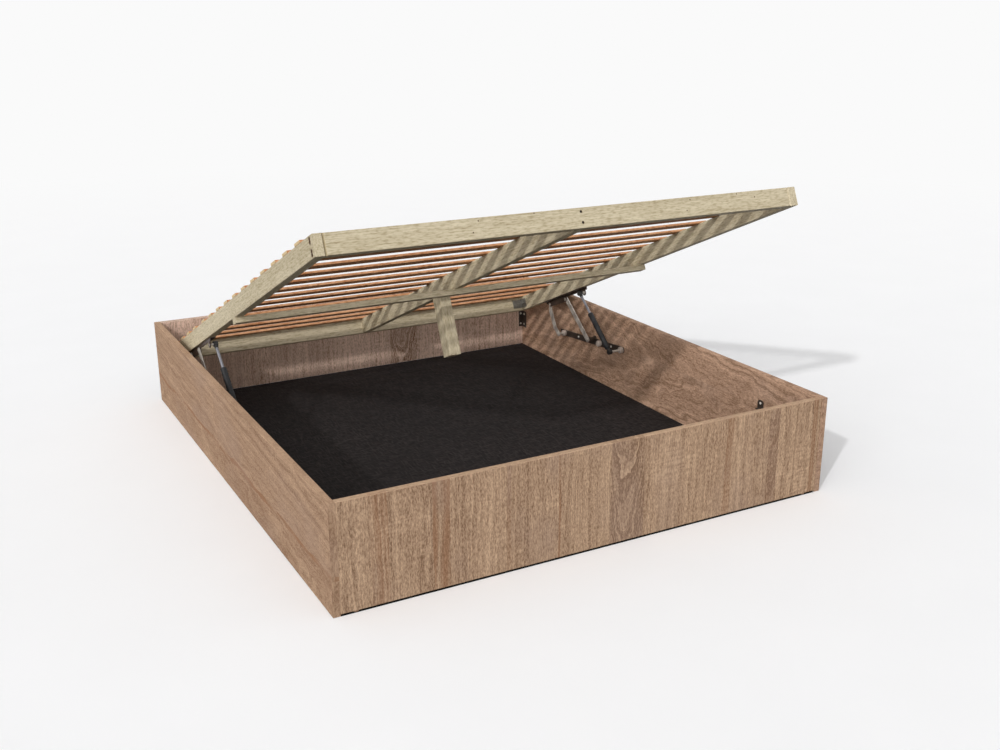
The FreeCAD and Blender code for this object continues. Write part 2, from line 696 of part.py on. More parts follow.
for x, up in JOINT_FOOT_SCREWS:
    y, z = on_platform("joint_screw_sink", up)
    joint_screws.append((joint_screw, dict(x=x, y=y, z=z, turn=f"{QUARTER_TURN} - open_tilt")))

head_rail = board("head_rail", between, (HEAD_RAIL_Y, PLATFORM_LENGTH), ("0", "rail_depth"))
round_edges(head_rail, head_rail.Tip, "rail_round", runs_along(FreeCAD.Vector(1, 0, 0)))
FRAME_HEAD_SCREWS = [
    (f"{side} * ({RAIL_INSIDE_X} - frame_bracket_flange * {share})", FRAME_HOLE_Z)
    for side in SIDES.values() for share in FRAME_HOLE_SHARES
]
drill(head_rail, "XZ_Plane", f"-{HEAD_RAIL_Y}", FRAME_HEAD_SCREWS, PILOT, "screw_length")
place_on_platform(head_rail)

half = "rail_width / 2"
centre_rail = board("centre_rail", (f"-{half}", half), ("rail_width", HEAD_RAIL_Y), ("0", "rail_depth"))
round_edges(centre_rail, centre_rail.Tip, "rail_round", runs_along(FreeCAD.Vector(0, 1, 0)))
drill(centre_rail, "XZ_Plane", "-rail_width", JOINT_FOOT_SCREWS, PILOT, JOINT_SECOND_DEPTH)
drill(centre_rail, "XY_Plane", "0", [("0", CROSS_BAR_Y)], PILOT, BAR_SCREW_DEPTH, forwards=True)
place_on_platform(centre_rail)

# Cross bar under the rails, and the leg behind it

bar_edges = ("cross_bar_setback", "cross_bar_setback + cross_bar_width")
cross_bar = board("cross_bar", (f"-{RAIL_X}", RAIL_X), bar_edges, ("-cross_bar_thickness", "0"))
round_edges(cross_bar, cross_bar.Tip, "rail_round", runs_along(FreeCAD.Vector(1, 0, 0)))
bar_screws = [(x, CROSS_BAR_Y) for x in CROSS_BAR_X]
drill(cross_bar, "XY_Plane", "-cross_bar_thickness", bar_screws, PILOT, JOINT_HOLE_DEPTH, forwards=True)
countersink(cross_bar, "XY_Plane", "-cross_bar_thickness", bar_screws, forwards=True)
place_on_platform(cross_bar)
for x, along in bar_screws:
    y, z = on_platform(along, "-cross_bar_thickness")
    joint_screws.append((joint_screw, dict(x=x, y=y, z=z, turn=f"{2 * QUARTER_TURN} - open_tilt")))

leg = board("support_leg", ("-leg_width / 2", "leg_width / 2"), (LEG_Y, f"{LEG_Y} + leg_depth"),
            (f"-{LEG_LENGTH}", "0"))
round_edges(leg, leg.Tip, "leg_round", runs_along(FreeCAD.Vector(0, 0, 1)))
place_on_platform(leg)

group("frame_joint_screws", joint_screws)

# Slats, a left and a right one in each row

slat_lines = [f"(slat_foot_margin + {row} * slat_pitch)" for row in range(FOOT_SLAT_ROWS)]
for row in reversed(range(HEAD_SLAT_ROWS)):
    slat_lines.append(f"({PLATFORM_LENGTH} - slat_head_margin - {row} * slat_pitch)")
for number, middle in enumerate(slat_lines, start=1):
    slats = doc.addObject("PartDesign::Body", f"slat_row_{number:02d}")
    plan = sketch(slats, "XY_Plane", "rail_depth")
    for side in SIDES.values():
        edges = (f"{middle} - slat_width / 2", f"{middle} + slat_width / 2")
        rectangle(plan, sided(side, "slat_field_gap / 2", RAIL_X), edges)
    pad(slats, plan, "slat_thickness")
    round_edges(slats, slats.Tip, "slat_round", runs_along(FreeCAD.Vector(1, 0, 0)))
    place_on_platform(slats)
    nodes.append(slats)

# Corner brackets at the head of the platform

frame_brackets = doc.addObject("PartDesign::Body", "frame_corner_brackets")
angles = sketch(frame_brackets, "XY_Plane", "frame_bracket_base")
for side in SIDES.values():
    inner_x = f"{side} * ({RAIL_INSIDE_X} - frame_bracket_thickness)"
    inner_y = f"{HEAD_RAIL_Y} - frame_bracket_thickness"
    outline(angles, [
        (f"{side} * {RAIL_INSIDE_X}", HEAD_RAIL_Y),
        (f"{side} * ({RAIL_INSIDE_X} - frame_bracket_flange)", HEAD_RAIL_Y),
        (f"{side} * ({RAIL_INSIDE_X} - frame_bracket_flange)", inner_y),
        (inner_x, inner_y),
        (inner_x, f"{HEAD_RAIL_Y} - frame_bracket_flange"),
        (f"{side} * {RAIL_INSIDE_X}", f"{HEAD_RAIL_Y} - frame_bracket_flange"),
    ])
pad(frame_brackets, angles, "frame_bracket_height")
through = "frame_bracket_thickness + overrun"
for side in SIDES.values():
    drill(frame_brackets, "YZ_Plane", f"{side} * {RAIL_INSIDE_X}", FRAME_SIDE_SCREWS, PILOT, through,
          forwards=side < 0)
    for along, up in FRAME_SIDE_SCREWS:
        face_x = f"({RAIL_INSIDE_X} - frame_bracket_thickness)"
        platform_screws.append((pan_head_screw, facing_in(side, face_x, on_platform(along, up))))
drill(frame_brackets, "XZ_Plane", f"-{HEAD_RAIL_Y}", FRAME_HEAD_SCREWS, PILOT, through, forwards=True)
for x, up in FRAME_HEAD_SCREWS:
    y, z = on_platform(f"{HEAD_RAIL_Y} - frame_bracket_thickness", up)
    platform_screws.append((pan_head_screw, dict(x=x, y=y, z=z, turn=f"{QUARTER_TURN} - open_tilt")))
place_on_platform(frame_brackets)
nodes.append(frame_brackets)

# Angle under each side rail, whose narrow flange has a plate for both link pins and a lug for the strut

lug = "upper_lug_width / 2"
REAR_PIN_SPOT = (f"{PLATFORM_LENGTH} - rear_pin_setback", "-rear_pin_drop")
FRONT_PIN_SPOT = (FRONT_PIN_ALONG, "-front_pin_drop")
STRUT_STUD_SPOT = (f"{PLATFORM_LENGTH} - strut_stud_setback", "-strut_stud_drop")
UPPER_SPOTS = [REAR_PIN_SPOT, FRONT_PIN_SPOT, STRUT_STUD_SPOT]

for name, side in SIDES.items():
    upper = doc.addObject("PartDesign::Body", f"upper_bracket_{name}")
    angle = sketch(upper, "XZ_Plane", f"-{UPPER_REAR_Y}")
    outline(angle, [
        (f"{side} * {RAIL_INSIDE_X}", "0"),
        (f"{side} * {FLANGE_X}", "0"),
        (f"{side} * {FLANGE_X}", "-upper_flange_drop"),
        (f"{side} * {FLANGE_INSIDE_X}", "-upper_flange_drop"),
        (f"{side} * {FLANGE_INSIDE_X}", "-upper_bracket_thickness"),
        (f"{side} * {RAIL_INSIDE_X}", "-upper_bracket_thickness"),
    ])
    pad(upper, angle, UPPER_LENGTH)
    hanging = -SIZES["upper_flange_drop"] / 2
    round_edges(upper, upper.Tip, "upper_bracket_round",
                lambda edge: crosswise(edge) and edge.CenterOfMass.z < hanging)
    lugs = sketch(upper, "YZ_Plane", f"{side} * {FLANGE_X}")
    outline(lugs, [
        (f"{FRONT_PIN_SPOT[0]} - {lug}", "-upper_bracket_thickness"),
        (f"{FRONT_PIN_SPOT[0]} - {lug}", FRONT_PIN_SPOT[1]),
        (FRONT_PIN_SPOT[0], f"{FRONT_PIN_SPOT[1]} - {lug}"),
        (REAR_PIN_SPOT[0], f"{REAR_PIN_SPOT[1]} - {lug}"),
        (f"{REAR_PIN_SPOT[0]} + {lug}", REAR_PIN_SPOT[1]),
        (f"{REAR_PIN_SPOT[0]} + {lug}", "-upper_bracket_thickness"),
    ])
    stud_edges = (f"{STRUT_STUD_SPOT[0]} - {lug}", f"{STRUT_STUD_SPOT[0]} + {lug}")
    rectangle(lugs, stud_edges, (STRUT_STUD_SPOT[1], "-upper_bracket_thickness"))
    pad(upper, lugs, "upper_bracket_thickness", backwards=side > 0)
    lug_end = sketch(upper, "YZ_Plane", f"{side} * {FLANGE_X}")
    circle(lug_end, *STRUT_STUD_SPOT, "upper_lug_width")
    pad(upper, lug_end, "upper_bracket_thickness", backwards=side > 0)
    drill(upper, "YZ_Plane", f"{side} * {FLANGE_X}", UPPER_SPOTS, PIN_HOLE,
          "upper_bracket_thickness + overrun", forwards=side < 0)
    under = [(f"{side} * {UPPER_SCREWS_X}", y) for y in UPPER_SCREWS_Y]
    drill(upper, "XY_Plane", "0", under, PILOT, "upper_bracket_thickness + overrun")
    place_on_platform(upper)
    nodes.append(upper)
    for along in UPPER_SCREWS_Y:
        y, z = on_platform(along, "-upper_bracket_thickness")
        spot = dict(x=f"{side} * {UPPER_SCREWS_X}", y=y, z=z, turn=f"{2 * QUARTER_TURN} - open_tilt")
        platform_screws.append((pan_head_screw, spot))

group("platform_bracket_screws", platform_screws)

# Pins of the upper pivots, which point outwards from the inner face of the hanging flange


def facing_out(side, x, spot):
    """Give a place at a distance from the middle, with a piece's own Z axis away from the middle."""
    return facing_in(-side, f"(-{x})", spot)


def headed_pin(label, far_end):
    """Make a pin with a head below its start, and with its far end as given."""
    return turn_outline(label, [
        ("0", "-pin_head_thickness"),
        ("pin_head_diameter / 3", "-pin_head_thickness"),
        ("pin_head_diameter / 2", "-pin_head_thickness / 2"),
        ("pin_head_diameter / 2", "0"),
        ("pin_diameter / 2", "0"),
    ] + far_end)


def plain_end(length):
    """End a pin square at a distance from its start."""
    return [("pin_diameter / 2", length), ("0", length)]


def second_head(length):
    """End a pin with another head at a distance from its start."""
    return [
        ("pin_diameter / 2", length),
        ("pin_head_diameter / 2", length),
        ("pin_head_diameter / 2", f"{length} + pin_head_thickness / 2"),
        ("pin_head_diameter / 3", f"{length} + pin_head_thickness"),
        ("0", f"{length} + pin_head_thickness"),
    ]


hinge_pin = headed_pin("hinge_pin", second_head(f"({LINK_OUTSIDE_X} - {FLANGE_INSIDE_X} + side_clearance)"))
group("front_link_pins", [
    (hinge_pin, facing_out(side, FLANGE_INSIDE_X, FRONT_PIN)) for side in SIDES.values()
])

flange_rivet = headed_pin("flange_rivet", plain_end("upper_bracket_thickness"))
group("rear_flange_rivets", [
    (flange_rivet, facing_out(side, FLANGE_INSIDE_X, REAR_PIN)) for side in SIDES.values()
])

link_rivet = headed_pin("link_rivet", plain_end("(link_thickness + link_gap - open_pivot_gap)"))
group("rear_link_rivets", [
    (link_rivet, facing_in(side, LINK_OUTSIDE_X, REAR_PIN)) for side in SIDES.values()
])

collar = "(upper_bracket_thickness + pin_head_thickness)"
stud_reach = "(upper_bracket_thickness + strut_offset - socket_width / 2 - open_pivot_gap)"
top_stud = turn_outline("top_stud", [
    ("0", "0"),
    ("pin_diameter / 2", "0"),
    ("pin_diameter / 2", "upper_bracket_thickness"),
    ("pin_head_diameter / 2", "upper_bracket_thickness"),
    ("pin_head_diameter / 2", collar),
    ("pin_diameter / 2", collar),
    ("pin_diameter / 2", stud_reach),
    ("0", stud_reach),
])
group("strut_top_studs", [(top_stud, facing_in(side, FLANGE_X, STRUT_STUD)) for side in SIDES.values()])

# Links: a straight one in front and a cranked one behind

half = "link_width / 2"
for name, side in SIDES.items():
    link = doc.addObject("PartDesign::Body", f"front_link_{name}")
    bar = sketch(link, "YZ_Plane")
    rectangle(bar, ("0", "front_link_length"), (f"-{half}", half))
    pad(link, bar, "link_thickness", backwards=side < 0)
    eyes = sketch(link, "YZ_Plane")
    circle(eyes, "0", "0", "link_width")
    circle(eyes, "front_link_length", "0", "link_width")
    pad(link, eyes, "link_thickness", backwards=side < 0)
    depth = "link_thickness + overrun"
    drill(link, "YZ_Plane", "0", [("0", "0")], STUD_HOLE, depth, forwards=side > 0)
    drill(link, "YZ_Plane", "0", [("front_link_length", "0")], PIN_HOLE, depth, forwards=side > 0)
    place(link, f"{side} * {LINK_X}", *FRONT_PIVOT, turn="front_link_angle")
    nodes.append(link)

rear_length = distance(REAR_PIVOT, REAR_PIN)
crank_start, crank_end = (f"{share} * {rear_length}" for share in CRANK_SHARES)
for name, side in SIDES.items():
    link = doc.addObject("PartDesign::Body", f"rear_link_{name}")
    bar = sketch(link, "YZ_Plane")
    outline(bar, [
        ("0", f"-{half}"),
        (crank_start, f"-{half} - rear_link_crank"),
        (crank_end, f"-{half} - rear_link_crank"),
        (rear_length, f"-{half}"),
        (rear_length, half),
        (crank_end, f"{half} - rear_link_crank"),
        (crank_start, f"{half} - rear_link_crank"),
        ("0", half),
    ])
    pad(link, bar, "link_thickness", backwards=side < 0)
    eyes = sketch(link, "YZ_Plane")
    circle(eyes, "0", "0", "link_width")
    circle(eyes, rear_length, "0", "link_width")
    pad(link, eyes, "link_thickness", backwards=side < 0)
    drill(link, "YZ_Plane", "0", [("0", "0")], STUD_HOLE, depth, forwards=side > 0)
    drill(link, "YZ_Plane", "0", [(rear_length, "0")], PIN_HOLE, depth, forwards=side > 0)
    place(link, f"{side} * {LINK_X}", *REAR_PIVOT, turn=slope(REAR_PIVOT, REAR_PIN))
    nodes.append(link)

# Gas struts, turned about their own axis from the lower pivot up

STRUT_LENGTH = distance(STRUT_PIVOT, STRUT_STUD)
cylinder_radius = "cylinder_diameter / 2"
bore_radius = "cylinder_bore / 2"
gland_radius = "rod_diameter / 2 + pivot_clearance"
cylinder = turn_outline("cylinder", [
    ("0", "cylinder_base"),
    (f"{cylinder_radius} - cylinder_round", "cylinder_base"),
    (cylinder_radius, "cylinder_base + cylinder_round"),
    (cylinder_radius, "cylinder_mouth - cylinder_round"),
    (f"{cylinder_radius} - cylinder_round", "cylinder_mouth"),
    (gland_radius, "cylinder_mouth"),
    (gland_radius, "cylinder_mouth - gland_length"),
    (bore_radius, "cylinder_mouth - gland_length"),
    (bore_radius, "cylinder_base + end_wall"),
    ("0", "cylinder_base + end_wall"),
])
piston_radius = f"{bore_radius} - piston_clearance"
piston_top = "(cylinder_mouth - piston_setback)"
UPPER_NECK = f"(socket_diameter * {NECK_SHARE})"
rod_top = f"({STRUT_LENGTH} - {UPPER_NECK} + rod_seat_depth)"
rod = turn_outline("rod", [
    ("0", f"{piston_top} - piston_length"),
    (piston_radius, f"{piston_top} - piston_length"),
    (piston_radius, piston_top),
    ("rod_diameter / 2", piston_top),
    ("rod_diameter / 2", rod_top),
    ("0", rod_top),
])


def socket(label, neck_end):
    """Make an end socket across the strut, with a neck towards the other end."""
    body = doc.addObject("PartDesign::Body", label)
    neck = sketch(body, "XY_Plane")
    circle(neck, "0", "0", "neck_diameter")
    pad(body, neck, neck_end)
    barrel = sketch(body, "YZ_Plane", "-socket_width / 2")
    circle(barrel, "0", "0", "socket_diameter")
    pad(body, barrel, "socket_width")
    return body


middle = [("0", "0")]
lower_socket = socket("lower_socket", "cylinder_base")
drill(lower_socket, "YZ_Plane", "socket_width / 2", middle, STUD_HOLE, "socket_width - socket_wall")
upper_socket = socket("upper_socket", UPPER_NECK)
drill(upper_socket, "XY_Plane", UPPER_NECK, middle, "rod_diameter + 2 * pivot_clearance", "rod_seat_depth")


def on_strut(side, spot, downwards=False):
    """Give a place on a strut's axis, with a piece's own Z along it and its own X to the outside."""
    lean = f"({slope(STRUT_PIVOT, STRUT_STUD)} {'+' if downwards else '-'} {QUARTER_TURN} deg)"
    spin = dict(axis="1; 0; 0", turn=lean)
    if side < 0:
        spin = dict(axis=f"0; -sin({lean} / 2); cos({lean} / 2)", turn=f"{2 * QUARTER_TURN}")
    return dict(x=f"{side} * {STRUT_X}", y=spot[0], z=spot[1], **spin)


group("strut_cylinders", [(cylinder, on_strut(side, STRUT_PIVOT)) for side in SIDES.values()])
group("strut_rods", [(rod, on_strut(side, STRUT_PIVOT)) for side in SIDES.values()])
group("strut_lower_sockets", [(lower_socket, on_strut(side, STRUT_PIVOT)) for side in SIDES.values()])
group("strut_upper_sockets", [
    (upper_socket, on_strut(side, STRUT_STUD, downwards=True)) for side in SIDES.values()
])

# Checks, then one file for each node

doc.recompute()
for item in doc.Objects:
    if "Invalid" in item.State or "Error" in item.State:
        raise RuntimeError(f"{item.Label} failed: {item.State}")
for holes in doc.findObjects("PartDesign::Pocket"):
    if holes.Shape.Volume >= holes.BaseFeature.Shape.Volume:
        raise RuntimeError(f"{holes.Label} cuts nothing")
for node in nodes:
    if node.Shape.isNull() or not node.Shape.isValid():
        raise RuntimeError(f"{node.Label} has no valid shape")

os.makedirs("parts", exist_ok=True)
for node in nodes:
    node.Shape.exportStep(f"parts/{node.Label}.step")
print(len(nodes), "nodes,", sum(len(node.Shape.Solids) for node in nodes), "solids")
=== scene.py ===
import math
from typing import NamedTuple

import bmesh
import bpy
from mathutils import Matrix, Vector


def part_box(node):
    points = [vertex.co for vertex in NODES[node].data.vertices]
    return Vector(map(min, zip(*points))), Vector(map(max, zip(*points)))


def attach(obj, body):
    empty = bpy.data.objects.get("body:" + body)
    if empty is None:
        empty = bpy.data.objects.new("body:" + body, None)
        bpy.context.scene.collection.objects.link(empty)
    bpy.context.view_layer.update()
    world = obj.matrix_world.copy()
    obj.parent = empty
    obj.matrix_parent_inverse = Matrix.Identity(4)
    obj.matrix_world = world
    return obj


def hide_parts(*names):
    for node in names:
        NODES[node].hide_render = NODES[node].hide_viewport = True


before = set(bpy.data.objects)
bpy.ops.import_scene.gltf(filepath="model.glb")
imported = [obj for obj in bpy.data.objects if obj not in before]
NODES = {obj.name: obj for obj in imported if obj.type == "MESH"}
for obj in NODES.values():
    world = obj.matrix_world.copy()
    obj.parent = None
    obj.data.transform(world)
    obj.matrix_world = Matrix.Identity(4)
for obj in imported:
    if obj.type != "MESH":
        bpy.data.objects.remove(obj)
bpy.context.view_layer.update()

bl_info = {
    "name": "Storage bed finish",
    "version": (1, 0, 0),
    "blender": (4, 5, 0),
    "location": "View3D > Sidebar > Storage bed",
    "description": "Finishes, screws and stage of a storage bed with a lifting slatted platform",
    "category": "Object",
}

# The raised platform leans about its foot end, so its grain is turned the same way
PLATFORM_FOOT = (0.0, -0.8355, 0.9347)
PLATFORM_TILT = math.radians(23.49)
RIGHT_ANGLE = math.radians(90)

# Boards of each laminate panel: start as a share of the panel's span across the grain, tone, figure
FOOT_BOARD_SHARES = (
    (0.000, 0.42, 0.10), (0.053, 0.66, 0.12), (0.084, 0.46, 0.20), (0.163, 0.68, 0.15), (0.194, 0.40, 0.12),
    (0.297, 0.60, 0.15), (0.305, 0.46, 0.20), (0.400, 0.68, 0.10), (0.406, 0.38, 0.12), (0.508, 0.36, 1.00),
    (0.582, 0.36, 0.10), (0.761, 0.66, 0.20), (0.778, 0.44, 0.20), (0.870, 0.56, 0.60), (0.893, 0.46, 0.15),
    (0.980, 0.68, 0.10),
)
HEAD_BOARD_SHARES = (
    (0.000, 0.06, 0.15), (0.085, 0.00, 0.30), (0.190, 0.16, 0.20), (0.270, 0.02, 0.15), (0.360, 0.10, 0.15),
    (0.470, 0.00, 0.25), (0.590, 0.12, 1.00), (0.670, 0.04, 0.20), (0.800, 0.16, 0.20), (0.905, 0.00, 0.15),
)
LEFT_BOARD_SHARES = ((0.000, 0.54, 0.50), (0.335, 0.76, 0.50), (0.375, 0.44, 0.50))
RIGHT_BOARD_SHARES = ((0.000, 0.20, 1.00), (0.620, 0.14, 1.00))

# Middle and half width of the arched figure of each panel, as shares of the same span
FOOT_HEART_SHARES = (0.545, 0.037)
HEAD_HEART_SHARES = (0.630, 0.040)
SIDE_HEART_SHARES = (0.560, 0.500)

# Arches along a stretch as long as the figure's half width
ARCHES_PER_SPAN = 1.5

# How far the boards' seams wander, as shares of the same span
END_SWAY_SHARE = 0.004
SIDE_SWAY_SHARE = 0.060

# How much a painted highlight lightens the top edges of the foot panel and the left panel, on which the key
# light falls
TOP_HIGHLIGHT_SHARE = 0.35

# Dark pin knots of the foot rail, as shares of its length and depth
KNOT_SHARES = (
    (0.287, 0.854), (0.273, 0.336), (0.401, 0.959), (0.751, 0.866),
    (0.867, 0.931), (0.911, 0.681), (0.739, 0.330),
)

# Depths of the bumps and widths of the worn edges, in metres
FIBRE_DEPTH = 0.0003
LINEN_DEPTH = 0.0003
BRUSH_DEPTH = 0.00006
PEEL_DEPTH = 0.0001
WOOD_EDGE = 0.002
FITTING_EDGE = 0.0012

# Points of a mesh that are closer than this are one point, in metres
WELD_DISTANCE = 1e-6

# The camera of the photo, with its sensor's width in millimetres
CAMERA_PLACE = (-1.7226, -3.4862, 1.5357)
CAMERA_TURN = (math.radians(71.756), 0, math.radians(-28.686))
CAMERA_SENSOR = 36

# The ways the two lights travel, and the sky's bright side
KEY_DIRECTION = (0.699, 0.479, -0.531)
FRONT_DIRECTION = (0.66, 0.66, -0.30)
SKY_DIRECTION = (-0.75, -0.60, 0.20)

# How far the floor lies under the case, in metres
FLOOR_GAP = 0.0005


def shade(red, green, blue):
    """Turn a colour picked on screen, 0 to 255, into the linear values that Blender keeps."""
    def linear(value):
        value = value / 255
        return value / 12.92 if value <= 0.04045 else ((value + 0.055) / 1.055) ** 2.4
    return linear(red), linear(green), linear(blue), 1.0


def colour(name, description, default):
    """Make a colour property."""
    return bpy.props.FloatVectorProperty(
        name=name, description=description, default=default, size=4, min=0, max=1, subtype="COLOR")


def length(name, description, default):
    """Make a length property, in metres."""
    return bpy.props.FloatProperty(
        name=name, description=description, default=default, min=0, unit="LENGTH", precision=4)


def angle(name, description, default):
    """Make an angle property, given in degrees."""
    return bpy.props.FloatProperty(
        name=name, description=description, default=math.radians(default), subtype="ANGLE")


def amount(name, description, default):
    """Make a plain number property."""
    return bpy.props.FloatProperty(name=name, description=description, default=default, min=0)


# Settings


class OakSettings(bpy.types.PropertyGroup):
    """Colours of the oak laminate on the panels"""
    pale: colour("Pale", "Ground tone of the foot panel", shade(209, 177, 147))
    left_pale: colour("Left pale", "Ground tone of the even left panel", shade(194, 162, 134))
    # Painted shade: the right and head panels, in the shade inside the case, get their own pinker and greyer
    # ground tones, shaded copies of the same oak
    shaded_right_pale: colour("Right pale", "Ground tone of the pinker right panel", shade(204, 168, 142))
    shaded_head_pale: colour("Head pale", "Ground tone of the greyer head panel", shade(222, 194, 176))
    dark: colour("Dark", "Tone of the dark growth lines", shade(126, 97, 76))
    side_dark: colour("Side dark", "The same on the side panels, where they are fainter", shade(139, 109, 87))
    streak: colour("Streak", "Reddish tone of the boards' edges", shade(156, 112, 82))
    bloom: colour("Bloom", "Greyish pink tone of the dull patches", shade(166, 142, 128))
    pore_depth: length("Pore depth", "How deep the pores are pressed in", 0.00025)


class FrameWoodSettings(bpy.types.PropertyGroup):
    """Colours of the rails, the cross bar, the leg and the slats"""
    pale: colour("Pale", "Light tone of the softwood rails", shade(216, 204, 177))
    dark: colour("Dark", "Dark fibres of the softwood rails", shade(160, 145, 114))
    # The knot colour also serves as the painted shade round the sunk screws
    knot: colour("Knot", "Small knots of the softwood", shade(84, 62, 44))
    knot_size: length("Knot size", "Radius of a small knot", 0.0024)
    # Radii of the painted shade of the sunk screws' recesses, on the foot rail and on the side rails
    recess_shade_size: length("Hole size", "Radius of the dark wood round a sunk screw of the foot rail", 0.0066)
    side_recess_shade_size: length("Side hole size", "The same for the side rails", 0.0090)
    # Half width of the painted shadow in the joint at the foot rail's left end
    joint_shadow_size: length("Groove size", "Half width of the dark wood in a joint", 0.0036)
    slat_pale: colour("Slat pale", "Light tone of the beech slats", shade(228, 178, 136))
    slat_dark: colour("Slat dark", "Dark flecks of the beech slats", shade(164, 106, 68))
    slat_end: colour("Slat end", "End grain of the beech slats", shade(220, 198, 156))


class BoardSettings(bpy.types.PropertyGroup):
    """Colours of the black floor board"""
    black: colour("Black", "Ground tone of the floor board", shade(36, 33, 33))
    lint: colour("Lint", "Pale threads of its pressed linen pattern", shade(60, 54, 53))
    thread: length("Thread", "Spacing of the linen pattern", 0.004)


class MetalSettings(bpy.types.PropertyGroup):
    """Colours of the fittings"""
    zinc: colour("Zinc", "Zinc coat of links and pivots", shade(196, 188, 178))
    dull: colour("Dull steel", "Dark oiled steel of plates and case brackets", shade(68, 57, 48))
    brown: colour("Brown steel", "Brownish steel of the platform's hinge brackets", shade(72, 56, 48))
    grey: colour("Grey zinc", "Dulled zinc of the frame's corner brackets", shade(124, 120, 112))
    bright: colour("Bright zinc", "Screws of the case", shade(226, 219, 208))
    rod: colour("Rod", "Ground steel of the strut rods", shade(150, 150, 156))
    # Painted shade: the joint screws get this near-black tone for the shade in their sunk recesses
    screw: colour("Dark screw", "Blackened screws of the frame's joints", shade(40, 37, 34))
    stain: colour("Stain", "Stains and specks of all metals", (0.03, 0.027, 0.025, 1))
    paint: colour("Paint", "Black paint of the strut cylinders", shade(24, 24, 26))
    cream: colour("Cream plastic", "Bushings and bumpers", shade(168, 154, 144))
    black_plastic: colour("Black plastic", "Strut sockets", shade(30, 29, 28))
    brown_plastic: colour("Brown plastic", "Glides", shade(150, 114, 88))


class ScrewSettings(bpy.types.PropertyGroup):
    """Sizes of the screws' cross recesses"""
    recess_reach: length("Recess reach", "Half length of one arm of the cross", 0.0021)
    recess_width: length("Recess width", "Width of one arm of the cross", 0.0010)
    recess_depth: length("Recess depth", "Depth of the cross in the head", 0.0014)


class StageSettings(bpy.types.PropertyGroup):
    """Floor, light and camera"""
    floor_colour: colour("Floor", "Colour of the floor", shade(253, 253, 254))
    floor_wear: colour("Floor wear", "Colour of the floor's faint clouds", shade(251, 251, 252))
    floor_bounce: colour("Floor bounce", "Floor's colour for the light it throws back", shade(72, 72, 72))
    # Tone of the painted shadow on the floor under the foot panel
    floor_painted_shadow: colour("Floor under", "Colour of the floor under the foot panel", shade(40, 38, 36))
    floor_reach: length("Floor reach", "Half width of the floor", 30.0)
    blend_start: length("Blend start", "Distance where the floor starts to turn into the backdrop", 2.2)
    blend_end: length("Blend end", "Distance where the floor has turned into the backdrop", 7.5)
    backdrop: colour("Backdrop", "Colour behind everything", shade(250, 250, 250))
    sun_strength: amount("Sun", "Strength of the key light", 1.2)
    sun_angle: angle("Sun angle", "Width of the key light, which softens its shadows", 2.0)
    front_strength: amount("Front light", "Strength of the soft light from the front", 1.4)
    front_angle: angle("Front angle", "Width of the soft light from the front", 60)
    sky_colour: colour("Sky colour", "Colour of the fill light from all round", shade(254, 254, 254))
    sky_strength: amount("Sky", "Strength of the fill light from all round", 0.58)
    sky_slope: amount("Sky slope", "How much the fill light grows towards its bright side", 0.45)
    lens: amount("Lens", "Focal length in millimetres", 40.455)


class StorageBedSettings(bpy.types.PropertyGroup):
    """All settings of the storage bed"""
    oak: bpy.props.PointerProperty(type=OakSettings)
    wood: bpy.props.PointerProperty(type=FrameWoodSettings)
    board: bpy.props.PointerProperty(type=BoardSettings)
    metal: bpy.props.PointerProperty(type=MetalSettings)
    screws: bpy.props.PointerProperty(type=ScrewSettings)
    stage: bpy.props.PointerProperty(type=StageSettings)


# Patterns of the finishes


class Pattern(NamedTuple):
    """A noise: repeats per metre across the grain, along it and into the wood, and how rough it is"""
    repeats: tuple
    octaves: float = 2.0
    roughness: float = 0.5
    twist: float = 0.0
    shift: tuple = (0, 0, 0)


# Span of nearly all values of a noise. The other spans run from where it starts to count to where it is full
NOISE_SPAN = (0.30, 0.70)

# Oak laminate
OAK_PATTERNS = {
    "sway": Pattern((5.0, 1.2, 5.0)),
    "wander": Pattern((18.0, 5.0, 18.0), octaves=3.0),
    "swirl": Pattern((17.0, 12.0, 17.0), octaves=3.0),
    "broad": Pattern((9.0, 1.1, 9.0), octaves=3.0),
    "saw_place": Pattern((6.0, 7.0, 6.0)),
    "saw": Pattern((22.0, 130.0, 22.0), octaves=1.0),
    "dull": Pattern((5.0, 3.0, 5.0), octaves=3.0, shift=(3.1, 0.0, 0.0)),
}
PORE_PATTERNS = {
    "dashes": Pattern((320.0, 92.0, 320.0), roughness=0.7),
    "grain": Pattern((190.0, 14.0, 190.0), octaves=3.0, roughness=0.7, twist=0.3),
}
SEAM_PATTERN = Pattern((14.0, 4.0, 14.0))

# Growth lines of the oak: how many there are, and how many of them each pattern pushes them aside
LINES_PER_METRE = 46.0
HEART_LINES = 7.0
SWAY_LINES = 4.0
WANDER_LINES = 1.2
SWIRL_LINES = 6.0
FINE_LINES = 4.0
RING_OCTAVES = 2.0

# Span and weight of each pattern that darkens the oak
OAK_LAYERS = {
    "fine_rings": ((0.35, 0.65), 0.16),
    "broad": (NOISE_SPAN, 0.20),
    "grain": ((0.34, 0.66), 0.40),
    "dashes": ((0.38, 0.62), 0.60),
}
RING_WEIGHT = 0.28
BOLD_RING_WEIGHT = 0.60
TONE_WEIGHT = 0.55
SAW_WEIGHT = -0.24
DEPTH_SPAN = (0.50, 1.62)

# Which boards are figured, and which of those are narrow, by their arches per metre
FIGURE_SPAN = (0.3, 0.9)
NARROW_SPAN = (2.0, 12.0)

